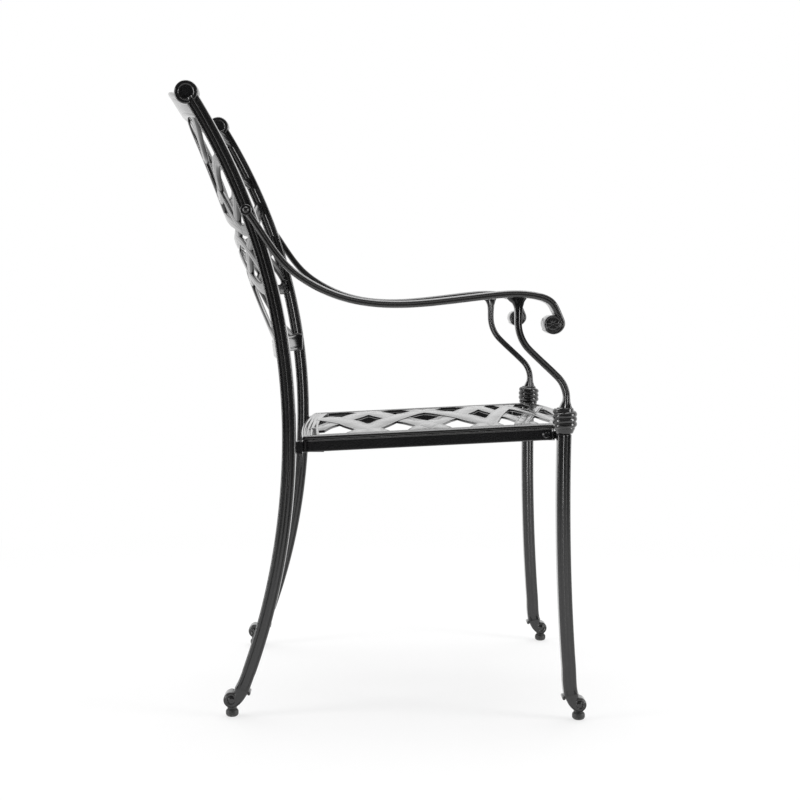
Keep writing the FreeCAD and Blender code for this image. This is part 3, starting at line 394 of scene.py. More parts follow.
def seat_point(x, y, h, crown):
    """Point of the seat: laid out flat with its height over the plate, raised by a shallow crown that
    is highest in the middle and lowered by a roll along the front edge, then tipped about its hinge."""
    rise = np.clip(1 - (x / 205.0) ** 2, 0, None) * np.clip((y + 280.0) / 90.0, 0, 1) ** 0.7
    rise = rise * np.clip((84.0 - y) / 40.0, 0, 1) ** 0.7
    edge = -300.0 - SEAT_BOW * (1 - (x / 188.0) ** 2)
    roll = np.clip((edge + 40.0 - y) / 40.0, 0, 1.0)
    h = h + crown * rise - 3.6 * roll ** 2
    run = y - SEAT_HINGE_Y
    return np.stack(np.broadcast_arrays(
        x, SEAT_HINGE_Y + run * math.cos(SEAT_PITCH) + h * math.sin(SEAT_PITCH),
        SEAT_Z - run * math.sin(SEAT_PITCH) + h * math.cos(SEAT_PITCH)), axis=-1)


# Materials

BARE_METAL = (0.16, 0.155, 0.15)
DUST_GREY = (0.2, 0.19, 0.17)
SCUFF_GREY = (0.16, 0.155, 0.15)


def node(tree, kind, inputs=None, **settings):
    """A node with its settings and inputs: a value, or the output that feeds the input."""
    made = tree.nodes.new(kind)
    for name, value in settings.items():
        setattr(made, name, value)
    for name, value in (inputs or {}).items():
        if isinstance(value, bpy.types.NodeSocket):
            tree.links.new(value, made.inputs[name])
        else:
            made.inputs[name].default_value = value
    return made


def ramp(tree, value, low, high):
    """Map a value from low to high onto zero to one, clamped."""
    return node(tree, "ShaderNodeMapRange", {0: value, 1: low, 2: high}).outputs[0]


def maths(tree, operation, first, second=0.0):
    """One sum, product or other operation on two values."""
    return node(tree, "ShaderNodeMath", {0: first, 1: second}, operation=operation).outputs[0]


def noise(tree, place, scale, detail):
    """Value of a noise texture at a place."""
    made = node(tree, "ShaderNodeTexNoise", {"Vector": place, "Scale": scale, "Detail": detail})
    return made.outputs["Fac"]


def mix(tree, share, first, second):
    """Colour between two, each a colour or an output."""
    first, second = ((*c, 1.0) if isinstance(c, (tuple, list)) else c for c in (first, second))
    return node(tree, "ShaderNodeMix", {0: share, 6: first, 7: second}, data_type="RGBA").outputs[2]


def finished(tree, shader, colour, rough, height, strength, distance):
    """Feed the shader its colour, its roughness and a bump of the height."""
    bump = node(tree, "ShaderNodeBump", {"Height": height, "Strength": strength, "Distance": distance})
    tree.links.new(colour, shader.inputs["Base Color"])
    tree.links.new(rough, shader.inputs["Roughness"])
    tree.links.new(bump.outputs[0], shader.inputs["Normal"])


def cast_surface_group():
    """Effects that every cast and painted piece shares: grain of the sand mould and orange peel of the
    gloss paint as a height, dust that lies in the hollows and wear along the ridges as masks."""
    found = bpy.data.node_groups.get("Cast surface")
    if found:
        return found
    tree = bpy.data.node_groups.new("Cast surface", "ShaderNodeTree")
    for name, default in (("Grain Scale", 130.0), ("Peel Scale", 900.0), ("Grain", 0.5), ("Dust", 0.5),
                          ("Wear", 0.5)):
        socket = tree.interface.new_socket(name, in_out="INPUT", socket_type="NodeSocketFloat")
        socket.default_value = default
    for name in ("Height", "Dust", "Wear", "Cloud"):
        tree.interface.new_socket(name, in_out="OUTPUT", socket_type="NodeSocketFloat")
    given = node(tree, "NodeGroupInput").outputs
    place = node(tree, "ShaderNodeTexCoord").outputs["Object"]
    relief = node(tree, "ShaderNodeAttribute", attribute_name="relief").outputs["Fac"]
    grain = noise(tree, place, given["Grain Scale"], 3.0)
    peel = noise(tree, place, given["Peel Scale"], 1.0)
    cloud = noise(tree, place, 14.0, 2.0)
    fine = noise(tree, place, 420.0, 4.0)
    height = maths(tree, "MULTIPLY", grain, given["Grain"])
    height = maths(tree, "ADD", height, maths(tree, "MULTIPLY", peel, 0.08))
    hollow = ramp(tree, relief, -0.05, -0.55)
    dust = maths(tree, "MULTIPLY", hollow, ramp(tree, fine, 0.35, 0.75))
    dust = maths(tree, "MULTIPLY", dust, given["Dust"])
    ridge = ramp(tree, relief, 0.25, 0.9)
    wear = maths(tree, "MULTIPLY", ridge, ramp(tree, fine, 0.5, 0.62))
    wear = maths(tree, "MULTIPLY", wear, given["Wear"])
    node(tree, "NodeGroupOutput", {"Height": height, "Dust": dust, "Wear": wear, "Cloud": cloud})
    return tree


def new_material(name):
    """Empty material with its Principled shader, and its tree."""
    material = bpy.data.materials.new(name)
    material.use_nodes = True
    tree = material.node_tree
    return material, tree, tree.nodes["Principled BSDF"]


def cast_material(name, finish):
    """Black gloss paint on a casting: the colour goes to dust grey in hollows and to bare grey metal
    where it is worn, and the gloss drops there."""
    material, tree, shader = new_material(name)
    shared = {"Dust": finish.dust, "Wear": finish.wear}
    out = node(tree, "ShaderNodeGroup", shared, node_tree=cast_surface_group()).outputs
    tone = mix(tree, out["Cloud"], tuple(finish.paint), [c * 1.5 + 0.001 for c in finish.paint])
    worn = mix(tree, out["Wear"], tone, BARE_METAL)
    dusty = mix(tree, out["Dust"], worn, DUST_GREY)
    rough = finish.gloss
    for key, share in (("Cloud", 0.12), ("Dust", 0.5), ("Wear", 0.2)):
        rough = maths(tree, "ADD", rough, maths(tree, "MULTIPLY", out[key], share))
    finished(tree, shader, dusty, rough, out["Height"], 0.03, 0.0006)
    shader.inputs["Coat Weight"].default_value = 0.5
    shader.inputs["Coat Roughness"].default_value = 0.06
    return material


def metal_material(name, colour, roughness):
    """Plated steel: fine turning lines that vary the roughness, and faint stains in the colour."""
    material, tree, shader = new_material(name)
    place = node(tree, "ShaderNodeTexCoord").outputs["Object"]
    lines = noise(tree, place, 1800.0, 2.0)
    stain = noise(tree, place, 260.0, 3.0)
    tone = mix(tree, ramp(tree, stain, 0.35, 0.7), tuple(colour), [c * 0.6 for c in colour])
    rough = maths(tree, "ADD", roughness, maths(tree, "MULTIPLY", lines, 0.18))
    finished(tree, shader, tone, rough, lines, 0.2, 0.0002)
    shader.inputs["Metallic"].default_value = 1.0
    return material


def nylon_material(name, colour):
    """Moulded nylon: satin, with a fine even grain and scuffs that lighten it towards the floor."""
    material, tree, shader = new_material(name)
    place = node(tree, "ShaderNodeTexCoord").outputs["Object"]
    grain = noise(tree, place, 1400.0, 2.0)
    scuff = noise(tree, place, 320.0, 4.0)
    height = node(tree, "ShaderNodeSeparateXYZ", {0: place}).outputs["Z"]
    low = ramp(tree, height, 5.0 * MM, 0.0)
    mask = maths(tree, "MULTIPLY", low, ramp(tree, scuff, 0.45, 0.7))
    tone = mix(tree, mask, tuple(colour), SCUFF_GREY)
    rough = maths(tree, "ADD", 0.42, maths(tree, "MULTIPLY", grain, 0.2))
    finished(tree, shader, tone, rough, grain, 0.25, 0.0002)
    return material


# Settings

class ArmchairSizes(bpy.types.PropertyGroup):
    """Sizes of the moulded detail."""
    flute_depth: FloatProperty(name="Flute Depth", description="Depth of the flutes along posts and legs",
                               default=1.0 * MM, unit="LENGTH")
    reed_depth: FloatProperty(name="Reed Depth", description="Depth of the lines along arms, ribs and rails",
                              default=1.2 * MM, unit="LENGTH")
    weave_lift: FloatProperty(name="Weave Lift", description="How far a seat strap rises over the next",
                              default=0.6 * MM, unit="LENGTH")
    strap_thickness: FloatProperty(name="Strap Thickness", description="Thickness of the seat's straps",
                                   default=4.0 * MM, unit="LENGTH")
    crown: FloatProperty(name="Crown", description="How far the middle of the seat is raised",
                         default=3.7 * MM, unit="LENGTH")
    rope_radius: FloatProperty(name="Rope Radius", description="Radius of the wrapped turns of a collar",
                               default=4.7 * MM, unit="LENGTH")
    rope_strands: IntProperty(name="Rope Strands", description="Strands twisted in each wrapped turn",
                              default=3, min=2)
    petals: IntProperty(name="Petals", description="Petals of the rosette in each arm's roll",
                        default=8, min=3)


class ArmchairFinish(bpy.types.PropertyGroup):
    """Colours and wear of the finishes."""
    paint: FloatVectorProperty(name="Paint", description="Colour of the gloss paint", subtype="COLOR",
                               default=(0.005, 0.005, 0.0054), min=0, max=1)
    zinc: FloatVectorProperty(name="Zinc", description="Colour of the plated steel", subtype="COLOR",
                              default=(0.62, 0.62, 0.63), min=0, max=1)
    nylon: FloatVectorProperty(name="Nylon", description="Colour of the glides", subtype="COLOR",
                               default=(0.03, 0.03, 0.03), min=0, max=1)
    gloss: FloatProperty(name="Roughness", description="Roughness of the fresh paint", subtype="FACTOR",
                         default=0.16, min=0, max=1)
    dust: FloatProperty(name="Dust", description="Dust in the hollows", subtype="FACTOR",
                        default=0.12, min=0, max=1)
    wear: FloatProperty(name="Wear", description="Wear along the ridges", subtype="FACTOR",
                        default=0.1, min=0, max=1)


class ArmchairStage(bpy.types.PropertyGroup):
    """Light, floor and camera."""
    top_light: FloatProperty(name="Top Light", description="Power of the lamp over the chair",
                             default=45.0, unit="POWER")
    side_light: FloatProperty(name="Side Light", description="Power of each lamp at the side",
                              default=40.0, unit="POWER")
    room: FloatProperty(name="Room", description="Strength of the room behind the camera", default=0.05)
    ceiling: FloatProperty(name="Ceiling", description="Strength of the ceiling", default=0.35)
    backdrop_fade: FloatVectorProperty(name="Backdrop Fade", description="Direction's X where the backdrop "
                                       "starts and where it is white", size=2, default=(-0.1, 0.35))
    floor_fade: FloatVectorProperty(name="Floor Fade", description="X where the floor is dark in the gloss "
                                    "and where it is white", size=2, default=(-3.0, -1.2), unit="LENGTH")
    floor_shade: FloatProperty(name="Floor Shade", description="Share of the chair's shadow that shows",
                               subtype="FACTOR", default=0.3, min=0, max=1)
    lens: FloatProperty(name="Lens", description="Focal length in millimetres", default=66.72)


class PieceOperator(bpy.types.Operator):
    """Shared by the operators that build pieces."""
    bl_options = {"REGISTER", "UNDO"}

    def execute(self, context):
        self.build(context.scene.armchair_sizes, context.scene.armchair_finish)
        return {"FINISHED"}


# Posts and legs

def leg_shell(stations, x, size, flute):
    """Fluted bar carried from its top down to the eye of its scroll. Channels three and four are the
    width and depth there, the fifth is how deep the outer flutes are cut and the sixth the middle one."""
    line = smooth_line(stations, 5.0, 10.0, 0.45)
    width, depth = size
    outer = [(-0.27 * depth, 0.15 * depth, flute), (0.27 * depth, 0.15 * depth, flute)]
    plain, outer, middle = (rounded_bar(width, depth, 3.4, 132, on_sides=cuts)
                            for cuts in ((), outer, [(0.0, 0.12 * depth, flute)]))
    outer, middle = outer - plain, middle - plain
    share = np.clip(line[:, 4:6], 0, 1)[:, :, None, None]
    outlines = plain[None] + share[:, 0] * outer[None] + share[:, 1] * middle[None]
    line[:, 2] /= width
    line[:, 3] /= depth
    return closed_shell(domed(carried(line, outlines, x), 1.5))


def foot_stations(scroll, outward, knots):
    """Stations of a foot from its own coordinates, outwards and up from the middle of its roll."""
    return [(scroll[0] + outward * a, scroll[1] + b, wide, deep, flute, 0.0)
            for a, b, wide, deep, flute in knots]


def foot_extras(x, scroll, outward, radius, width, bead):
    """Eye of the scroll, small roll at the ankle and boss that holds the glide's insert."""
    half = width / 2
    eye = [(0.02, half + 0.7), (2.0, half + 0.65), (4.0, half + 0.35), (4.9, half - 0.1), (5.2, half - 0.7),
           (5.8, half - 1.0), (7.0, half - 0.9), (7.4, half - 1.6)]
    eye = [(r * radius / SCROLL_RADII[0], d) for r, d in eye]
    core = [(r, -d) for r, d in eye] + [(r, d) for r, d in eye[::-1]]
    made = [closed_shell(turned(core, (x, *scroll), "X", 36))]
    roll = [(0.02, -0.46), (0.45, -0.46), (0.5, -0.5), (0.9, -0.5), (1.0, -0.47), (1.0, 0.47), (0.9, 0.5),
            (0.5, 0.5), (0.45, 0.46), (0.02, 0.46)]
    at = (x, scroll[0] + outward * bead[0], scroll[1] + bead[1])
    made.append(closed_shell(turned([(r * 2.4, d * (width + 0.6)) for r, d in roll], at, "X", 24)))
    boss = [(4.6, 4.0), (4.6, 0.0), (6.6, 0.0), (7.4, 0.8), (7.4, 4.5), (6.2, 7.5), (0.02, 8.5)]
    made.append(closed_shell(turned(boss, (x, scroll[0], BOSS_FOOT_Z), "Z", 36)))
    return made


class ARMCHAIR_OT_rear_posts(PieceOperator):
    """Build the rear legs with their posts: fluted bar, rolled top and scrolled foot."""
    bl_idname = "armchair.rear_posts"
    bl_label = "Rear Posts"

    def build(self, sizes, finish):
        z = np.linspace(900.0, 70.0, 40)
        fade = np.clip((z - 180.0) / 160.0, 0, 1)
        stations = [(float(post_y(a)), a, *POST_SIZE, 1.0, b) for a, b in zip(z, fade)]
        foot = [(-24.0, 36.5, 24.0, 19.2, 1.0), (-19.6, 25.0, 24.0, 19.6, 0.7),
                (-16.4, 17.2, 24.4, 20.6, 0.0), (-14.9, 13.8, 25.2, 22.0, 0.0),
                (-13.5, 10.6, 24.2, 19.2, 0.0), (-10.4, 3.4, 24.0, 16.4, 0.4),
                (-5.6, -4.4, 24.0, 12.0, 0.8), (0.4, -8.0, 24.2, 8.0, 0.8), (6.4, -5.6, 24.6, 7.0, 0.6),
                (8.8, 0.4, 24.8, 6.6, 0.5), (6.2, 6.4, 25.0, 6.3, 0.5), (0.2, 8.8, 25.0, 6.0, 0.5),
                (-4.6, 5.4, 24.6, 4.6, 0.4), (-4.4, 0.2, 24.2, 3.4, 0.2), (-1.6, -2.6, 24.0, 2.4, 0.0)]
        stations += foot_stations(REAR_SCROLL, 1.0, foot)
        shells = [leg_shell(stations, -POST_X, POST_SIZE, sizes.flute_depth / MM)]
        shells += foot_extras(-POST_X, REAR_SCROLL, 1.0, SCROLL_RADII[0], POST_SIZE[0], (-25.4, 9.2))
        angle = np.radians(np.linspace(-42, 292, 60))
        reach = np.interp(np.degrees(angle), (-42, 0, 260, 292), (13.2, 13.6, 13.6, 14.0))
        deep = np.interp(np.degrees(angle), (-42, 0, 250, 292), (6.0, 6.7, 6.7, 5.0))
        ring = np.stack([POST_CURL[0] - reach * np.cos(angle), POST_CURL[1] + reach * np.sin(angle),
                         np.full(60, 1.0), deep / 6.7], axis=1)
        strip = rounded_bar(27.0, 6.7, 2.3, 64, on_faces=[(-8.0, 1.6, 0.7), (8.0, 1.6, 0.7)])
        shells.append(closed_shell(domed(carried(ring, strip, -POST_X), 1.6)))
        disc = [(0.02, -11.9), (3.0, -11.8), (7.6, -11.3), (9.0, -11.0), (9.7, -11.4), (11.2, -11.0),
                (11.2, 11.0), (9.7, 11.4), (9.0, 11.0), (7.6, 11.3), (3.0, 11.8), (0.02, 11.9)]
        shells.append(closed_shell(turned(disc, (-POST_X, *POST_CURL), "X", 56)))
        pair("post_casting", shells, "rear_leg")


class ARMCHAIR_OT_front_legs(PieceOperator):
    """Build the front legs: fluted bar and scrolled foot."""
    bl_idname = "armchair.front_legs"
    bl_label = "Front Legs"

    def build(self, sizes, finish):
        z = np.linspace(418.0, 75.0, 20)
        stations = [(float(leg_y(a)), a, *LEG_SIZE, 1.0, min(1.0, (a - 70.0) / 60.0)) for a in z]
        foot = [(-14.4, 35.7, 21.0, 20.4, 1.0), (-13.2, 22.5, 21.0, 20.2, 0.6),
                (-12.2, 16.4, 21.4, 20.6, 0.0), (-11.5, 13.2, 22.2, 21.8, 0.0),
                (-10.7, 10.0, 21.2, 18.6, 0.0), (-8.8, 3.0, 21.0, 15.2, 0.4),
                (-4.8, -3.9, 21.0, 10.8, 0.8), (0.4, -7.2, 21.2, 7.2, 0.8), (5.8, -4.9, 21.6, 6.2, 0.6),
                (7.7, 0.4, 21.8, 5.7, 0.5), (5.5, 5.6, 22.0, 5.5, 0.5), (0.2, 7.9, 22.0, 5.2, 0.5),
                (-4.2, 4.8, 21.6, 4.0, 0.4), (-4.0, 0.2, 21.2, 3.0, 0.2), (-1.5, -2.4, 21.0, 2.2, 0.0)]
        stations += foot_stations(FRONT_SCROLL, -1.0, foot)
        shells = [leg_shell(stations, -LEG_X, LEG_SIZE, sizes.flute_depth / MM)]
        shells += foot_extras(-LEG_X, FRONT_SCROLL, -1.0, SCROLL_RADII[1], LEG_SIZE[0], (-22.6, 9.6))
        pair("leg_casting", shells, "front_leg")


class ARMCHAIR_OT_collars(PieceOperator):
    """Build the wrapped collars: a cup, a core and a rope wound round it."""
    bl_idname = "armchair.collars"
    bl_label = "Wrapped Collars"

    def build(self, sizes, finish):
        rope, strands = sizes.rope_radius / MM, sizes.rope_strands
        low, high = COLLAR_Z
        place = (-LEG_X, COLLAR_Y, low)
        cup = [(7.0, 1.5), (9.6, 0.0), (11.4, 0.3), (12.4, 1.6), (13.2, 4.0), (14.6, 6.6), (15.0, 8.4),
               (14.2, 10.2), (12.8, 11.0), (12.6, 36.0), (11.0, 37.6), (7.0, 38.0)]
        shells = [closed_shell(turned(cup, place, "Z", 64))]
        turns, steps = 3.35, 340
        t = np.linspace(0, 1, steps)
        angle = 2 * math.pi * turns * t + 0.6
        fade = np.clip(np.minimum(t, 1 - t) * 14, 0, 1) ** 0.6
        reach = 12.9 - 3.6 * (1 - fade)
        rise = 9.4 + (high - low - 15.0) * t
        centre = np.stack([reach * np.cos(angle), reach * np.sin(angle), rise], axis=1)
        along = np.gradient(centre, axis=0)
        along /= np.linalg.norm(along, axis=1, keepdims=True)
        out = np.stack([np.cos(angle), np.sin(angle), np.zeros(steps)], axis=1)
        up = np.cross(along, out)
        around = np.linspace(0, 2 * math.pi, 26, endpoint=False)
        travel = angle * reach
        strand = 0.28 * np.abs(np.cos((strands * around[None, :] + travel[:, None] * 0.42) / 2)) - 0.1
        radius = (rope * (0.35 + 0.65 * fade))[:, None] + strand
        grid = centre[:, None] + radius[..., None] * (np.cos(around)[None, :, None] * out[:, None]
                                                      + np.sin(around)[None, :, None] * up[:, None])
        shells.append(closed_shell(grid + np.array(place)))
        pair("collar_wrap", shells, "wrap_collar")


# Arms

def arm_line():
    """Centre line of the arm from the knuckle to the inside of its front roll, with its thickness."""
    knuckle = (float(post_y(KNUCKLE_Z)), KNUCKLE_Z)
    rear = [(-13.5, -19.5), (-35.5, -52.5), (-59.5, -81.0), (-91.5, -104.0), (-131.5, -122.0)]
    front = [(224.5, 193.4), (169.5, 198.2), (114.5, 204.8), (72.5, 207.8), (45.5, 205.0), (24.9, 196.4)]
    knots = [(*knuckle, 10.0)] + [(knuckle[0] + y, knuckle[1] + z, 10.0) for y, z in rear]
    knots += [(COLLAR_Y + y, SEAT_Z + z, 10.0) for y, z in front]
    middle = np.array([COLLAR_Y + ARM_ROLL[0], SEAT_Z + ARM_ROLL[1]])
    for degrees, reach, deep in ((35, 13.2, 9.6), (0, 13.4, 8.2), (-35, 12.7, 6.6), (-70, 12.4, 5.0),
                                 (-105, 12.2, 3.8), (-140, 12.2, 3.0)):
        a = math.radians(degrees)
        knots.append((middle[0] - reach * math.cos(a), middle[1] + reach * math.sin(a), deep))
    return smooth_line(knots, 4.0, 7.0, 0.5), middle


def rosette(petals, half):
    """Relief of a flat round flower: petals between two rings, from a wave round the angle that fades
    towards the middle and the rim."""
    def relief(radius, angle, along):
        band = np.clip(1 - np.abs(radius - 5.6) / 3.4, 0, 1)
        petal = 0.75 * np.abs(np.sin(petals * angle / 2)) ** 0.6 * band ** 0.5
        return np.sign(along) * petal * (np.abs(along) > half - 3.0)
    return relief


class ARMCHAIR_OT_arms(PieceOperator):
    """Build the arms: reeded strap that widens to the front and rolls up round a rosette."""
    bl_idname = "armchair.arms"
    bl_label = "Arms"

    def build(self, sizes, finish):
        reed = sizes.reed_depth / MM
        line, middle = arm_line()
        share = np.clip((145.0 - line[:, 0]) / 175.0, 0, 1)
        step = share * share * (3 - 2 * share)
        rear = ARM_X + ARM_REAR_WIDTH, ARM_X
        outer, inner = (-a - step * (b - a) for a, b in zip(rear, ARM_FRONT_X))
        bar = rounded_bar(50.0, 10.0, 4.4, 132, on_sides=[(0.3, 2.2, reed * 1.3)],
                          on_faces=[(-19.0, 1.8, reed * 0.6), (19.0, 1.8, reed * 0.6)])
        bar[:, 1] += np.where(bar[:, 1] > 0, 1.2 * (1 - (bar[:, 0] / 25.0) ** 2) - 0.8, 0)
        outlines = stretched(bar, 25.0, (inner - outer) / 2, 4.0)
        scale = np.stack([line[:, 0], line[:, 1], np.ones(len(line)), line[:, 2] / 10.0], axis=1)
        grid = carried(scale, outlines, (outer + inner) / 2)
        shells = [closed_shell(domed(grid, 1.5))]
        face = [(0.02, 0.9), (1.2, 1.0), (1.9, 1.9), (2.4, 1.4), (3.6, 1.5), (5.2, 1.3), (7.0, 1.3),
                (8.6, 1.6), (9.2, 2.2), (9.8, 1.0), (10.4, 0.4), (11.2, 0.3), (12.0, 0.8), (12.3, 1.8)]
        face = [(r, ROLL_HALF - d) for r, d in face]
        profile = [(r, -d) for r, d in face] + [(12.3, 0.0)] + [(r, d) for r, d in face[::-1]]
        at = (-sum(ARM_FRONT_X) / 2, *middle)
        shells.append(closed_shell(turned(profile, at, "X", 96, rosette(sizes.petals, ROLL_HALF))))
        knuckle = [(0.02, -8.45), (7.2, -8.4), (7.7, -8.2), (8.0, -7.6), (8.0, 7.6), (7.4, 8.4), (0.02, 8.45)]
        at = (-(ARM_X + ARM_REAR_WIDTH / 2), float(post_y(KNUCKLE_Z)), KNUCKLE_Z)
        shells.append(closed_shell(turned(knuckle, at, "X", 40)))
        pair("arm_casting", shells, "arm")
        dome = [(0.02, -3.2), (1.6, -3.0), (3.0, -2.5), (4.2, -1.5), (4.8, 0.0), (4.8, 1.0), (0.02, 1.0)]
        outside = box_mm("arm_bolts")[0][0]
        heads = [closed_shell(turned(dome, (outside + 3.2, *at[1:]), "X", 32))]
        piece("arm_screw_heads", heads + mirrored(heads), ["arm_bolts"])


class ARMCHAIR_OT_supports(PieceOperator):
    """Build the arm supports: reeded S-shaped bars that flare under the arm and over the collar."""
    bl_idname = "armchair.supports"
    bl_label = "Arm Supports"

    def build(self, sizes, finish):
        reed = sizes.reed_depth / MM
        bend = math.radians(46.5)
        foot_y, run, low_r, up_r, start = COLLAR_Y - 2.0, 70.0, 43.0, 56.0, COLLAR_Z[1] + 12.0
        slope = (run - (low_r + up_r) * (1 - math.cos(bend))) / math.sin(bend)
        a = np.linspace(0, bend, 8)
        low = np.stack([foot_y + low_r * (1 - np.cos(a)), start + low_r * np.sin(a)], axis=1)
        top_z = low[-1, 1] + slope * math.cos(bend) + up_r * math.sin(bend)
        b = a[::-1]
        high = np.stack([foot_y + run - up_r * (1 - np.cos(b)), top_z - up_r * np.sin(b)], axis=1)
        under = SEAT_Z + 207.5 - 6.0
        knots = [(foot_y + 1.0, COLLAR_Z[1] - 3.0, 20.0, 19.0), (foot_y + 0.6, COLLAR_Z[1] + 2.0, 17.2, 15.0),
                 (foot_y + 0.2, COLLAR_Z[1] + 7.0, 14.8, 11.2)]
        knots += [(y, z, 14.0, 9.9) for y, z in (*low, *high[:-1])]
        top_y = foot_y + run
        knots += [(top_y, under - 24.0, 14.0, 10.2), (top_y, under - 14.0, 14.2, 11.8),
                  (top_y + 0.4, under - 6.0, 14.8, 17.4), (top_y + 1.0, under - 1.0, 15.4, 27.0),
                  (top_y + 1.4, under + 2.5, 15.8, 33.0)]
        line = smooth_line(knots, 3.5, 7.0, 0.6)
        bar = rounded_bar(14.0, 10.0, 2.7, 84, on_sides=[(0.0, 2.3, reed * 1.25)])
        line[:, 2] /= 14.0
        line[:, 3] /= 10.0
        pair("support_casting", [closed_shell(carried(line, bar, -LEG_X))], "arm_support")


# Back

def rib_shell(knots, layer, reed):
    """Moulded rib along a smooth line of X and height. Its outline lies across the line and along the
    depth, and the whole is bowed with the panel."""
    line = smooth_line(knots, 4.0, 5.0)
    along = headings(line)
    bar = rounded_bar(16.8, 7.4, 3.6, 60, on_faces=[(0.0, 2.6, -0.35 * reed)])
    px = line[:, 0:1] - bar[None, :, 0] * along[:, 1:2]
    pz = line[:, 1:2] + bar[None, :, 0] * along[:, 0:1]
    return closed_shell(bowed(px, pz, bar[None, :, 1] + layer, panel_bow(pz)))


class ARMCHAIR_OT_back(PieceOperator):
    """Build the back panel: crossing ribs of a moulded section, one set a little in front of the other."""
    bl_idname = "armchair.back"
    bl_label = "Back Panel"

    def build(self, sizes, finish):
        reed = sizes.reed_depth / MM
        shells = []
        for layer, ribs in ((-0.3, SMILE_RIBS), (0.3, FROWN_RIBS)):
            for knots in ribs:
                left = [(x, SEAT_Z + rise) for x, rise in knots]
                right = [(-x, z) for x, z in left[::-1]]
                if knots[0][0] == 0:
                    shells.append(rib_shell(right[:-1] + left, layer, reed))
                else:
                    shells += [rib_shell(right, layer, reed), rib_shell(left, layer, reed)]
        piece("back_ribs", shells, ["back_panel"])


class ARMCHAIR_OT_rails(PieceOperator):
    """Build the crest rail, the lower rail of the back and the banded ferrules on its ends."""
    bl_idname = "armchair.rails"
    bl_label = "Back Rails"

    def build(self, sizes, finish):
        reed = sizes.reed_depth / MM
        x = np.linspace(-208.0, 208.0, 90)
        low, top = crest_low(x), crest_top(x)
        bar = rounded_bar(40.0, 13.0, 5.2, 96, on_faces=[(-13.0, 1.8, reed), (11.0, 1.8, reed)])
        section = stretched(bar, 20.0, (top - low) / 2, 10.0)
        z = ((top + low) / 2)[:, None] + section[..., 0]
        grid = bowed(np.broadcast_to(x[:, None], z.shape), z, section[..., 1], 35.0)
        piece("crest_casting", [closed_shell(grid)], ["crest_rail"])
        x = np.linspace(-LOWER_RAIL_HALF, LOWER_RAIL_HALF, 80)
        bar = rounded_bar(26.5, 13.0, 3.4, 88, on_faces=[(-7.6, 1.9, reed), (7.6, 1.9, reed)])
        z = LOWER_RAIL_Z + np.broadcast_to(bar[None, :, 0], (80, 88))
        grid = bowed(np.broadcast_to(x[:, None], z.shape), z, bar[None, :, 1], 21.0)
        piece("lower_rail_casting", [closed_shell(grid)], ["lower_back_rail"])
        t = np.linspace(0, 1, 46)
        swell = 1.0 - 0.07 * (1 - np.abs(np.sin(3 * math.pi * t)) ** 0.5)
        bar = rounded_bar(29.7, 18.0, 5.0, 64)
        x = -LOWER_RAIL_HALF + 15.0 * t
        z = LOWER_RAIL_Z + bar[None, :, 0] * swell[:, None]
        y = float(post_y(LOWER_RAIL_Z)) + 0.6 + bar[None, :, 1] * swell[:, None]
        grid = np.stack(np.broadcast_arrays(x[:, None], y, z), axis=2)
        shells = [closed_shell(domed(grid, 0.8, 3))]
        piece("ferrule_castings", shells + mirrored(shells), ["lower_rail_ferrules"])


# Seat

def lattice_y(v):
    """Y of lattice row v: even rows, then closer ones towards the front, joined by a short curve."""
    past = v - 2.0
    eased = 0.5 * (past + np.sqrt(past ** 2 + 0.02))
    return -1.3 - 92.0 * (v - eased) - 51.0 * eased


def strap_section(half, thick):
    """Outline of a flat strap: crisp small corners, upright walls and a fine groove near each edge."""
    top = thick / 2
    edge = [(-3.6, top), (-3.0, top - 0.35), (-2.4, top), (-1.0, top), (-0.5, top), (-0.15, top - 0.15),
            (0.0, top - 0.5), (0.0, top - 0.8), (0.0, 0.8 - top), (0.0, 0.5 - top), (-0.15, 0.15 - top),
            (-0.5, -top), (-1.0, -top)]
    right = [(half + a, b) for a, b in edge]
    return np.array([(0.0, top), *right, (0.0, -top), *[(-a, b) for a, b in right[::-1]]])


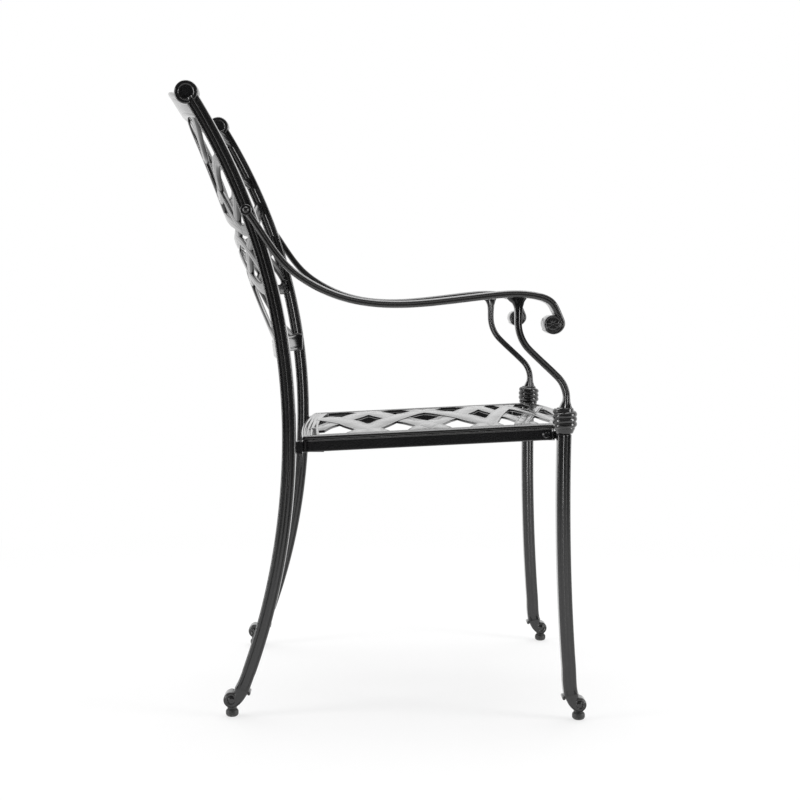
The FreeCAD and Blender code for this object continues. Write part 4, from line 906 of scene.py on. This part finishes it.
def strap_shell(family, number, sizes):
    """One woven strap: a flat reeded band along a lattice diagonal. Its height follows a flattened
    cosine of the crossing number, so that it passes over one strap and under the next, and it fades to
    the border's level at both ends."""
    thick, lift = sizes.strap_thickness / MM, sizes.weave_lift / MM
    x = np.linspace(-205.0, 205.0, 820) * family
    v = number + 0.5 + family * x / (2 * LATTICE_X)
    y = lattice_y(v)
    arch = 1 - (x / FIELD_HALF) ** 2
    rear = FIELD_REAR[0] + FIELD_REAR[1] * arch + STRAP_LAP
    front = FIELD_FRONT - SEAT_BOW * arch - STRAP_LAP
    kept = (y < rear) & (y > front) & (np.abs(x) < FIELD_HALF + STRAP_LAP)
    if kept.sum() < 100:
        return None
    x, y, v = x[kept], y[kept], v[kept]
    wave = np.cos(math.pi * family * x / LATTICE_X) * (1 if number % 2 == 0 else -1) * family
    wave = wave / np.sqrt(wave ** 2 + 0.12) * math.sqrt(1.12)
    edge = np.minimum(rear[kept] - y, y - front[kept])
    edge = np.minimum(edge, (FIELD_HALF + STRAP_LAP - np.abs(x)) * 0.6)
    fade = np.clip(edge / 16.0, 0, 1) ** 1.2
    lower = np.clip(1 - edge / 9.0, 0, 1)
    pitch = np.abs(np.gradient(y) / np.gradient(v))
    along = headings(np.stack([x, y], axis=1))
    half = (0.5 - OPENING_V) * pitch * np.abs(along[:, 0])
    outline = stretched(strap_section(19.0, thick), 19.0, half, 5.0)
    pick = np.linspace(0, len(x) - 1, max(int(len(x) * 0.5 / 2.2), 30)).astype(int)
    outline, along, x, y = outline[pick], along[pick], x[pick], y[pick]
    level = (-thick / 2 - 0.2 + lift * wave * fade - 1.2 * lower)[pick]
    px = x[:, None] - outline[..., 0] * along[:, 1:2]
    py = y[:, None] + outline[..., 0] * along[:, 0:1]
    return closed_shell(seat_point(px, py, level[:, None] + outline[..., 1], sizes.crown / MM))


def loop_sides(half, rear, rear_bow, front, front_bow, corner, counts):
    """Closed plan outline in four runs, rear, right, front and left, each walked at an even pace. The
    rear and the front are shallow parabolas, and rounded front corners are shared by their runs."""
    def walked(points, count):
        points = np.array(points, float)
        travel = np.r_[0, np.cumsum(np.linalg.norm(np.diff(points, axis=0), axis=1))]
        stops = np.linspace(0, travel[-1], count, endpoint=False)
        return np.stack([np.interp(stops, travel, points[:, k]) for k in (0, 1)], axis=1)
    wide = np.linspace(1, -1, 60)
    back = [(half * t, rear + rear_bow * (1 - t * t)) for t in wide]
    nose = np.linspace(-1, 1, 60)
    run = half - corner
    fore = [(run * t, front - front_bow * (1 - t * t)) for t in nose]
    a = np.linspace(0, math.pi / 2, 13)
    right = [(-run - corner * math.cos(b), front + corner - corner * math.sin(b)) for b in a]
    left = [(-p[0], p[1]) for p in right[::-1]]
    half_way = len(a) // 2 + 1
    if corner == 0:
        right, left, half_way = [(-half, front)] * 2, [(half, front)] * 2, 1
    sides = [back, [(-half, rear), *right[:half_way]], [*right[half_way - 1:], *fore, *left[:half_way]],
             [*left[half_way - 1:], (half, rear)]]
    return np.concatenate([walked(s, c) for s, c in zip(sides, counts)])


class ARMCHAIR_OT_seat(PieceOperator):
    """Build the seat panel: a reeded border round a field of woven straps."""
    bl_idname = "armchair.seat"
    bl_label = "Seat Panel"

    def build(self, sizes, finish):
        counts = (90, 90, 110, 90)
        outer = loop_sides(BORDER_HALF, 94.5, 8.5, -300.0, SEAT_BOW, 26.0, counts)
        inner = loop_sides(FIELD_HALF, *FIELD_REAR, FIELD_FRONT, SEAT_BOW, 0.0, counts)
        across = inner - outer
        across /= np.linalg.norm(across, axis=1, keepdims=True)
        reeds = [(0.3, -4.2), (0.0, -2.6), (0.5, -1.0), (1.6, 0.0), (3.2, 0.3), (5.0, 0.0), (6.2, -1.0),
                 (7.4, 0.0), (9.4, 0.4), (11.4, 0.0), (12.6, -1.0), (13.8, 0.0), (15.8, 0.4), (17.8, 0.0),
                 (19.0, -0.7), (20.4, -0.1)]
        wall = [(-1.2, -0.1), (-0.5, -0.1), (-0.15, -0.25), (0.0, -0.6), (0.0, -0.9), (0.0, -4.0),
                (0.0, -4.4), (-0.5, -4.9), (-1.8, -5.0)]
        under = [(3.0, -5.0), (1.2, -4.9)]
        profile = np.array(reeds + wall + under)
        on_wall = np.repeat((False, True, False), (len(reeds), len(wall), len(under)))
        base = np.where(on_wall[None, :, None], inner[:, None], outer[:, None])
        plan = base + across[:, None] * profile[None, :, 0:1]
        height = np.broadcast_to(profile[None, :, 1], plan.shape[:2])
        shells = [closed_shell(seat_point(plan[..., 0], plan[..., 1], height, sizes.crown / MM), True)]
        for family in (1, -1):
            for number in range(-3, 8):
                shell = strap_shell(family, number, sizes)
                if shell is not None:
                    shells.append(shell)
        piece("seat_weave", shells, ["seat_panel"])


class ARMCHAIR_OT_aprons(PieceOperator):
    """Build the side rails of the seat, a flat apron with rounded edges and a thin lip along its top, and
    the front lugs behind them."""
    bl_idname = "armchair.aprons"
    bl_label = "Seat Aprons"

    def build(self, sizes, finish):
        apron = rounded_bar(18.0, 5.0, 1.2, 60)
        lip = rounded_bar(2.6, 2.6, 1.25, 20)
        shells = []
        for bar, x, h in ((apron, -211.5, -14.0), (lip, -214.1, -6.4)):
            y = np.linspace(93.2, -273.8, 40)
            px = x + bar[None, :, 1]
            ph = h + bar[None, :, 0]
            px, ph, py = np.broadcast_arrays(px, ph, y[:, None])
            shells.append(closed_shell(seat_point(px, py, ph, 0.0)))
        pair("seat_apron", shells, "seat_side_rail")
        low, high = box_mm("seat_front_lugs")
        tail, arm = (rounded_bar(width, LUG_HEIGHT, 1.0, 40) for width in (8.5, 16.4))
        front, middle = low[1] - SHIFT_Y, high[2] - LUG_HEIGHT / 2
        x = np.linspace(low[0] + 0.1, -201.0, 12)[:, None]
        y = np.linspace(front, high[1] - SHIFT_Y, 14)[:, None]
        grids = [np.stack(np.broadcast_arrays(-204.45 + tail[:, 0], y, middle + tail[:, 1]), axis=2),
                 np.stack(np.broadcast_arrays(x, front + 8.2 + arm[:, 0], middle + arm[:, 1]), axis=2)]
        shells = [closed_shell(grid) for grid in grids]
        piece("front_lug_castings", shells + mirrored(shells), ["seat_front_lugs"])


class ARMCHAIR_OT_finishes(PieceOperator):
    """Make the finishes and give them to the CAD pieces that stay in sight."""
    bl_idname = "armchair.finishes"
    bl_label = "Finishes"

    def build(self, sizes, finish):
        paint = cast_material("Cast paint", finish)
        zinc = metal_material("Zinc steel", finish.zinc, 0.34)
        nylon = nylon_material("Glide nylon", finish.nylon)
        for name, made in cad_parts.items():
            material = paint
            if "pad" in name:
                material = nylon
            elif "stud" in name or "insert" in name:
                material = zinc
            made.data.materials.clear()
            made.data.materials.append(material)


class ARMCHAIR_OT_stage(bpy.types.Operator):
    """Set up the floor, the light and the camera."""
    bl_idname = "armchair.stage"
    bl_label = "Stage"

    def execute(self, context):
        settings = context.scene.armchair_stage
        scene = context.scene
        scene.view_settings.view_transform = "Standard"
        self.make_floor(settings)
        self.make_world(scene, settings)
        lamps = [("Top", (0.4, 0.0, 2.6), (0.0, 0.0, 0.5), (2.0, 2.0), settings.top_light),
                 ("Front", (-0.9, -2.4, 0.9), (0.0, 0.0, 0.6), (0.7, 1.9), settings.side_light),
                 ("Rear", (-0.9, 2.4, 0.9), (0.0, 0.0, 0.6), (0.7, 1.9), settings.side_light)]
        for name, place, target, size, power in lamps:
            light = bpy.data.lights.new(name + " lamp", "AREA")
            light.shape = "RECTANGLE"
            light.size, light.size_y = size
            light.energy = power
            lamp = bpy.data.objects.new(name + " lamp", light)
            lamp.location = place
            lamp.rotation_euler = (Vector(target) - Vector(place)).to_track_quat("-Z", "Y").to_euler()
            scene.collection.objects.link(lamp)
        self.make_camera(scene, settings)
        return {"FINISHED"}

    def make_floor(self, settings):
        """Floor that the camera sees white except for part of the chair's shadow. To the gloss it is
        white round the chair and dims with the distance towards the camera."""
        mesh = bpy.data.meshes.new("Floor")
        mesh.from_pydata([(-30, -30, 0), (30, -30, 0), (30, 30, 0), (-30, 30, 0)], [], [(0, 1, 2, 3)])
        material = bpy.data.materials.new("Floor white")
        material.use_nodes = True
        tree = material.node_tree
        tree.nodes.clear()
        place = node(tree, "ShaderNodeTexCoord").outputs["Object"]
        reach = node(tree, "ShaderNodeVectorMath", {0: place}, operation="LENGTH").outputs["Value"]
        toward = node(tree, "ShaderNodeSeparateXYZ", {0: place}).outputs["X"]
        path = node(tree, "ShaderNodeLightPath").outputs
        plain = node(tree, "ShaderNodeBsdfDiffuse", {"Color": (0.86, 0.86, 0.86, 1.0)})
        shown = maths(tree, "MAXIMUM", path["Is Camera Ray"], ramp(tree, toward, *settings.floor_fade))
        glow = node(tree, "ShaderNodeEmission", {"Color": (1.0, 1.0, 1.0, 1.0), "Strength": shown})
        near = maths(tree, "MULTIPLY", ramp(tree, reach, 1.6, 0.5), settings.floor_shade)
        near = maths(tree, "MULTIPLY", near, path["Is Camera Ray"])
        unlit = maths(tree, "MAXIMUM", near, path["Is Diffuse Ray"])
        mixed = node(tree, "ShaderNodeMixShader", {0: unlit, 1: glow.outputs[0], 2: plain.outputs[0]})
        node(tree, "ShaderNodeOutputMaterial", {"Surface": mixed.outputs[0]})
        mesh.materials.append(material)
        floor = bpy.data.objects.new("Floor", mesh)
        bpy.context.scene.collection.objects.link(floor)

    def make_world(self, scene, settings):
        """White for the camera. For everything else a white backdrop behind the chair, a pale ceiling and
        a dim room behind the camera, by the direction's X and Z."""
        world = bpy.data.worlds.new("Studio")
        scene.world = world
        world.use_nodes = True
        tree = world.node_tree
        tree.nodes.clear()
        way = node(tree, "ShaderNodeTexCoord").outputs["Generated"]
        way = node(tree, "ShaderNodeSeparateXYZ", {0: way}).outputs
        path = node(tree, "ShaderNodeLightPath").outputs
        behind = ramp(tree, way["X"], *settings.backdrop_fade)
        above = maths(tree, "MULTIPLY", ramp(tree, way["Z"], 0.45, 0.8), settings.ceiling)
        light = maths(tree, "MAXIMUM", maths(tree, "MAXIMUM", behind, above), settings.room)
        light = maths(tree, "MAXIMUM", light, path["Is Camera Ray"])
        back = node(tree, "ShaderNodeBackground", {"Color": (1.0, 1.0, 1.0, 1.0), "Strength": light})
        node(tree, "ShaderNodeOutputWorld", {"Surface": back.outputs[0]})

    def make_camera(self, scene, settings):
        """Camera at the photograph's place: distance, height and turn found from pairs of feet and posts."""
        data = bpy.data.cameras.new("Camera")
        data.lens = settings.lens
        data.sensor_width = 36.0
        camera = bpy.data.objects.new("Camera", data)
        down, turn = math.radians(4.131), math.radians(1.060)
        camera.location = (-2.370, -0.008 + SHIFT_Y * MM, 0.621)
        ahead = Vector((math.cos(down) * math.cos(turn), -math.cos(down) * math.sin(turn), -math.sin(down)))
        camera.rotation_euler = ahead.to_track_quat("-Z", "Y").to_euler()
        scene.collection.objects.link(camera)
        scene.camera = camera


OPERATORS = (ARMCHAIR_OT_finishes, ARMCHAIR_OT_rear_posts, ARMCHAIR_OT_front_legs, ARMCHAIR_OT_collars,
             ARMCHAIR_OT_arms, ARMCHAIR_OT_supports, ARMCHAIR_OT_back, ARMCHAIR_OT_rails, ARMCHAIR_OT_seat,
             ARMCHAIR_OT_aprons, ARMCHAIR_OT_stage)
GROUPS = {"armchair_sizes": ArmchairSizes, "armchair_finish": ArmchairFinish, "armchair_stage": ArmchairStage}


class ARMCHAIR_PT_panel(bpy.types.Panel):
    """Settings and operators of the armchair."""
    bl_idname = "ARMCHAIR_PT_panel"
    bl_label = "Cast Garden Armchair"
    bl_space_type = "VIEW_3D"
    bl_region_type = "UI"
    bl_category = "Armchair"

    def draw(self, context):
        for attribute, group in GROUPS.items():
            box = self.layout.box()
            for name in group.__annotations__:
                box.prop(getattr(context.scene, attribute), name)
        for operator in OPERATORS:
            self.layout.operator(operator.bl_idname)


def register():
    """Register the settings, the operators and the panel."""
    for group in GROUPS.values():
        bpy.utils.register_class(group)
    for attribute, group in GROUPS.items():
        setattr(bpy.types.Scene, attribute, PointerProperty(type=group))
    for item in (*OPERATORS, ARMCHAIR_PT_panel):
        bpy.utils.register_class(item)


def unregister():
    """Take the panel, the operators and the settings away again."""
    for item in (ARMCHAIR_PT_panel, *OPERATORS[::-1]):
        bpy.utils.unregister_class(item)
    for attribute, group in GROUPS.items():
        delattr(bpy.types.Scene, attribute)
        bpy.utils.unregister_class(group)


def main():
    """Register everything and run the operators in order."""
    register()
    for operator in OPERATORS:
        group, name = operator.bl_idname.split(".")
        getattr(getattr(bpy.ops, group), name)()


if __name__ == "__main__":
    main()
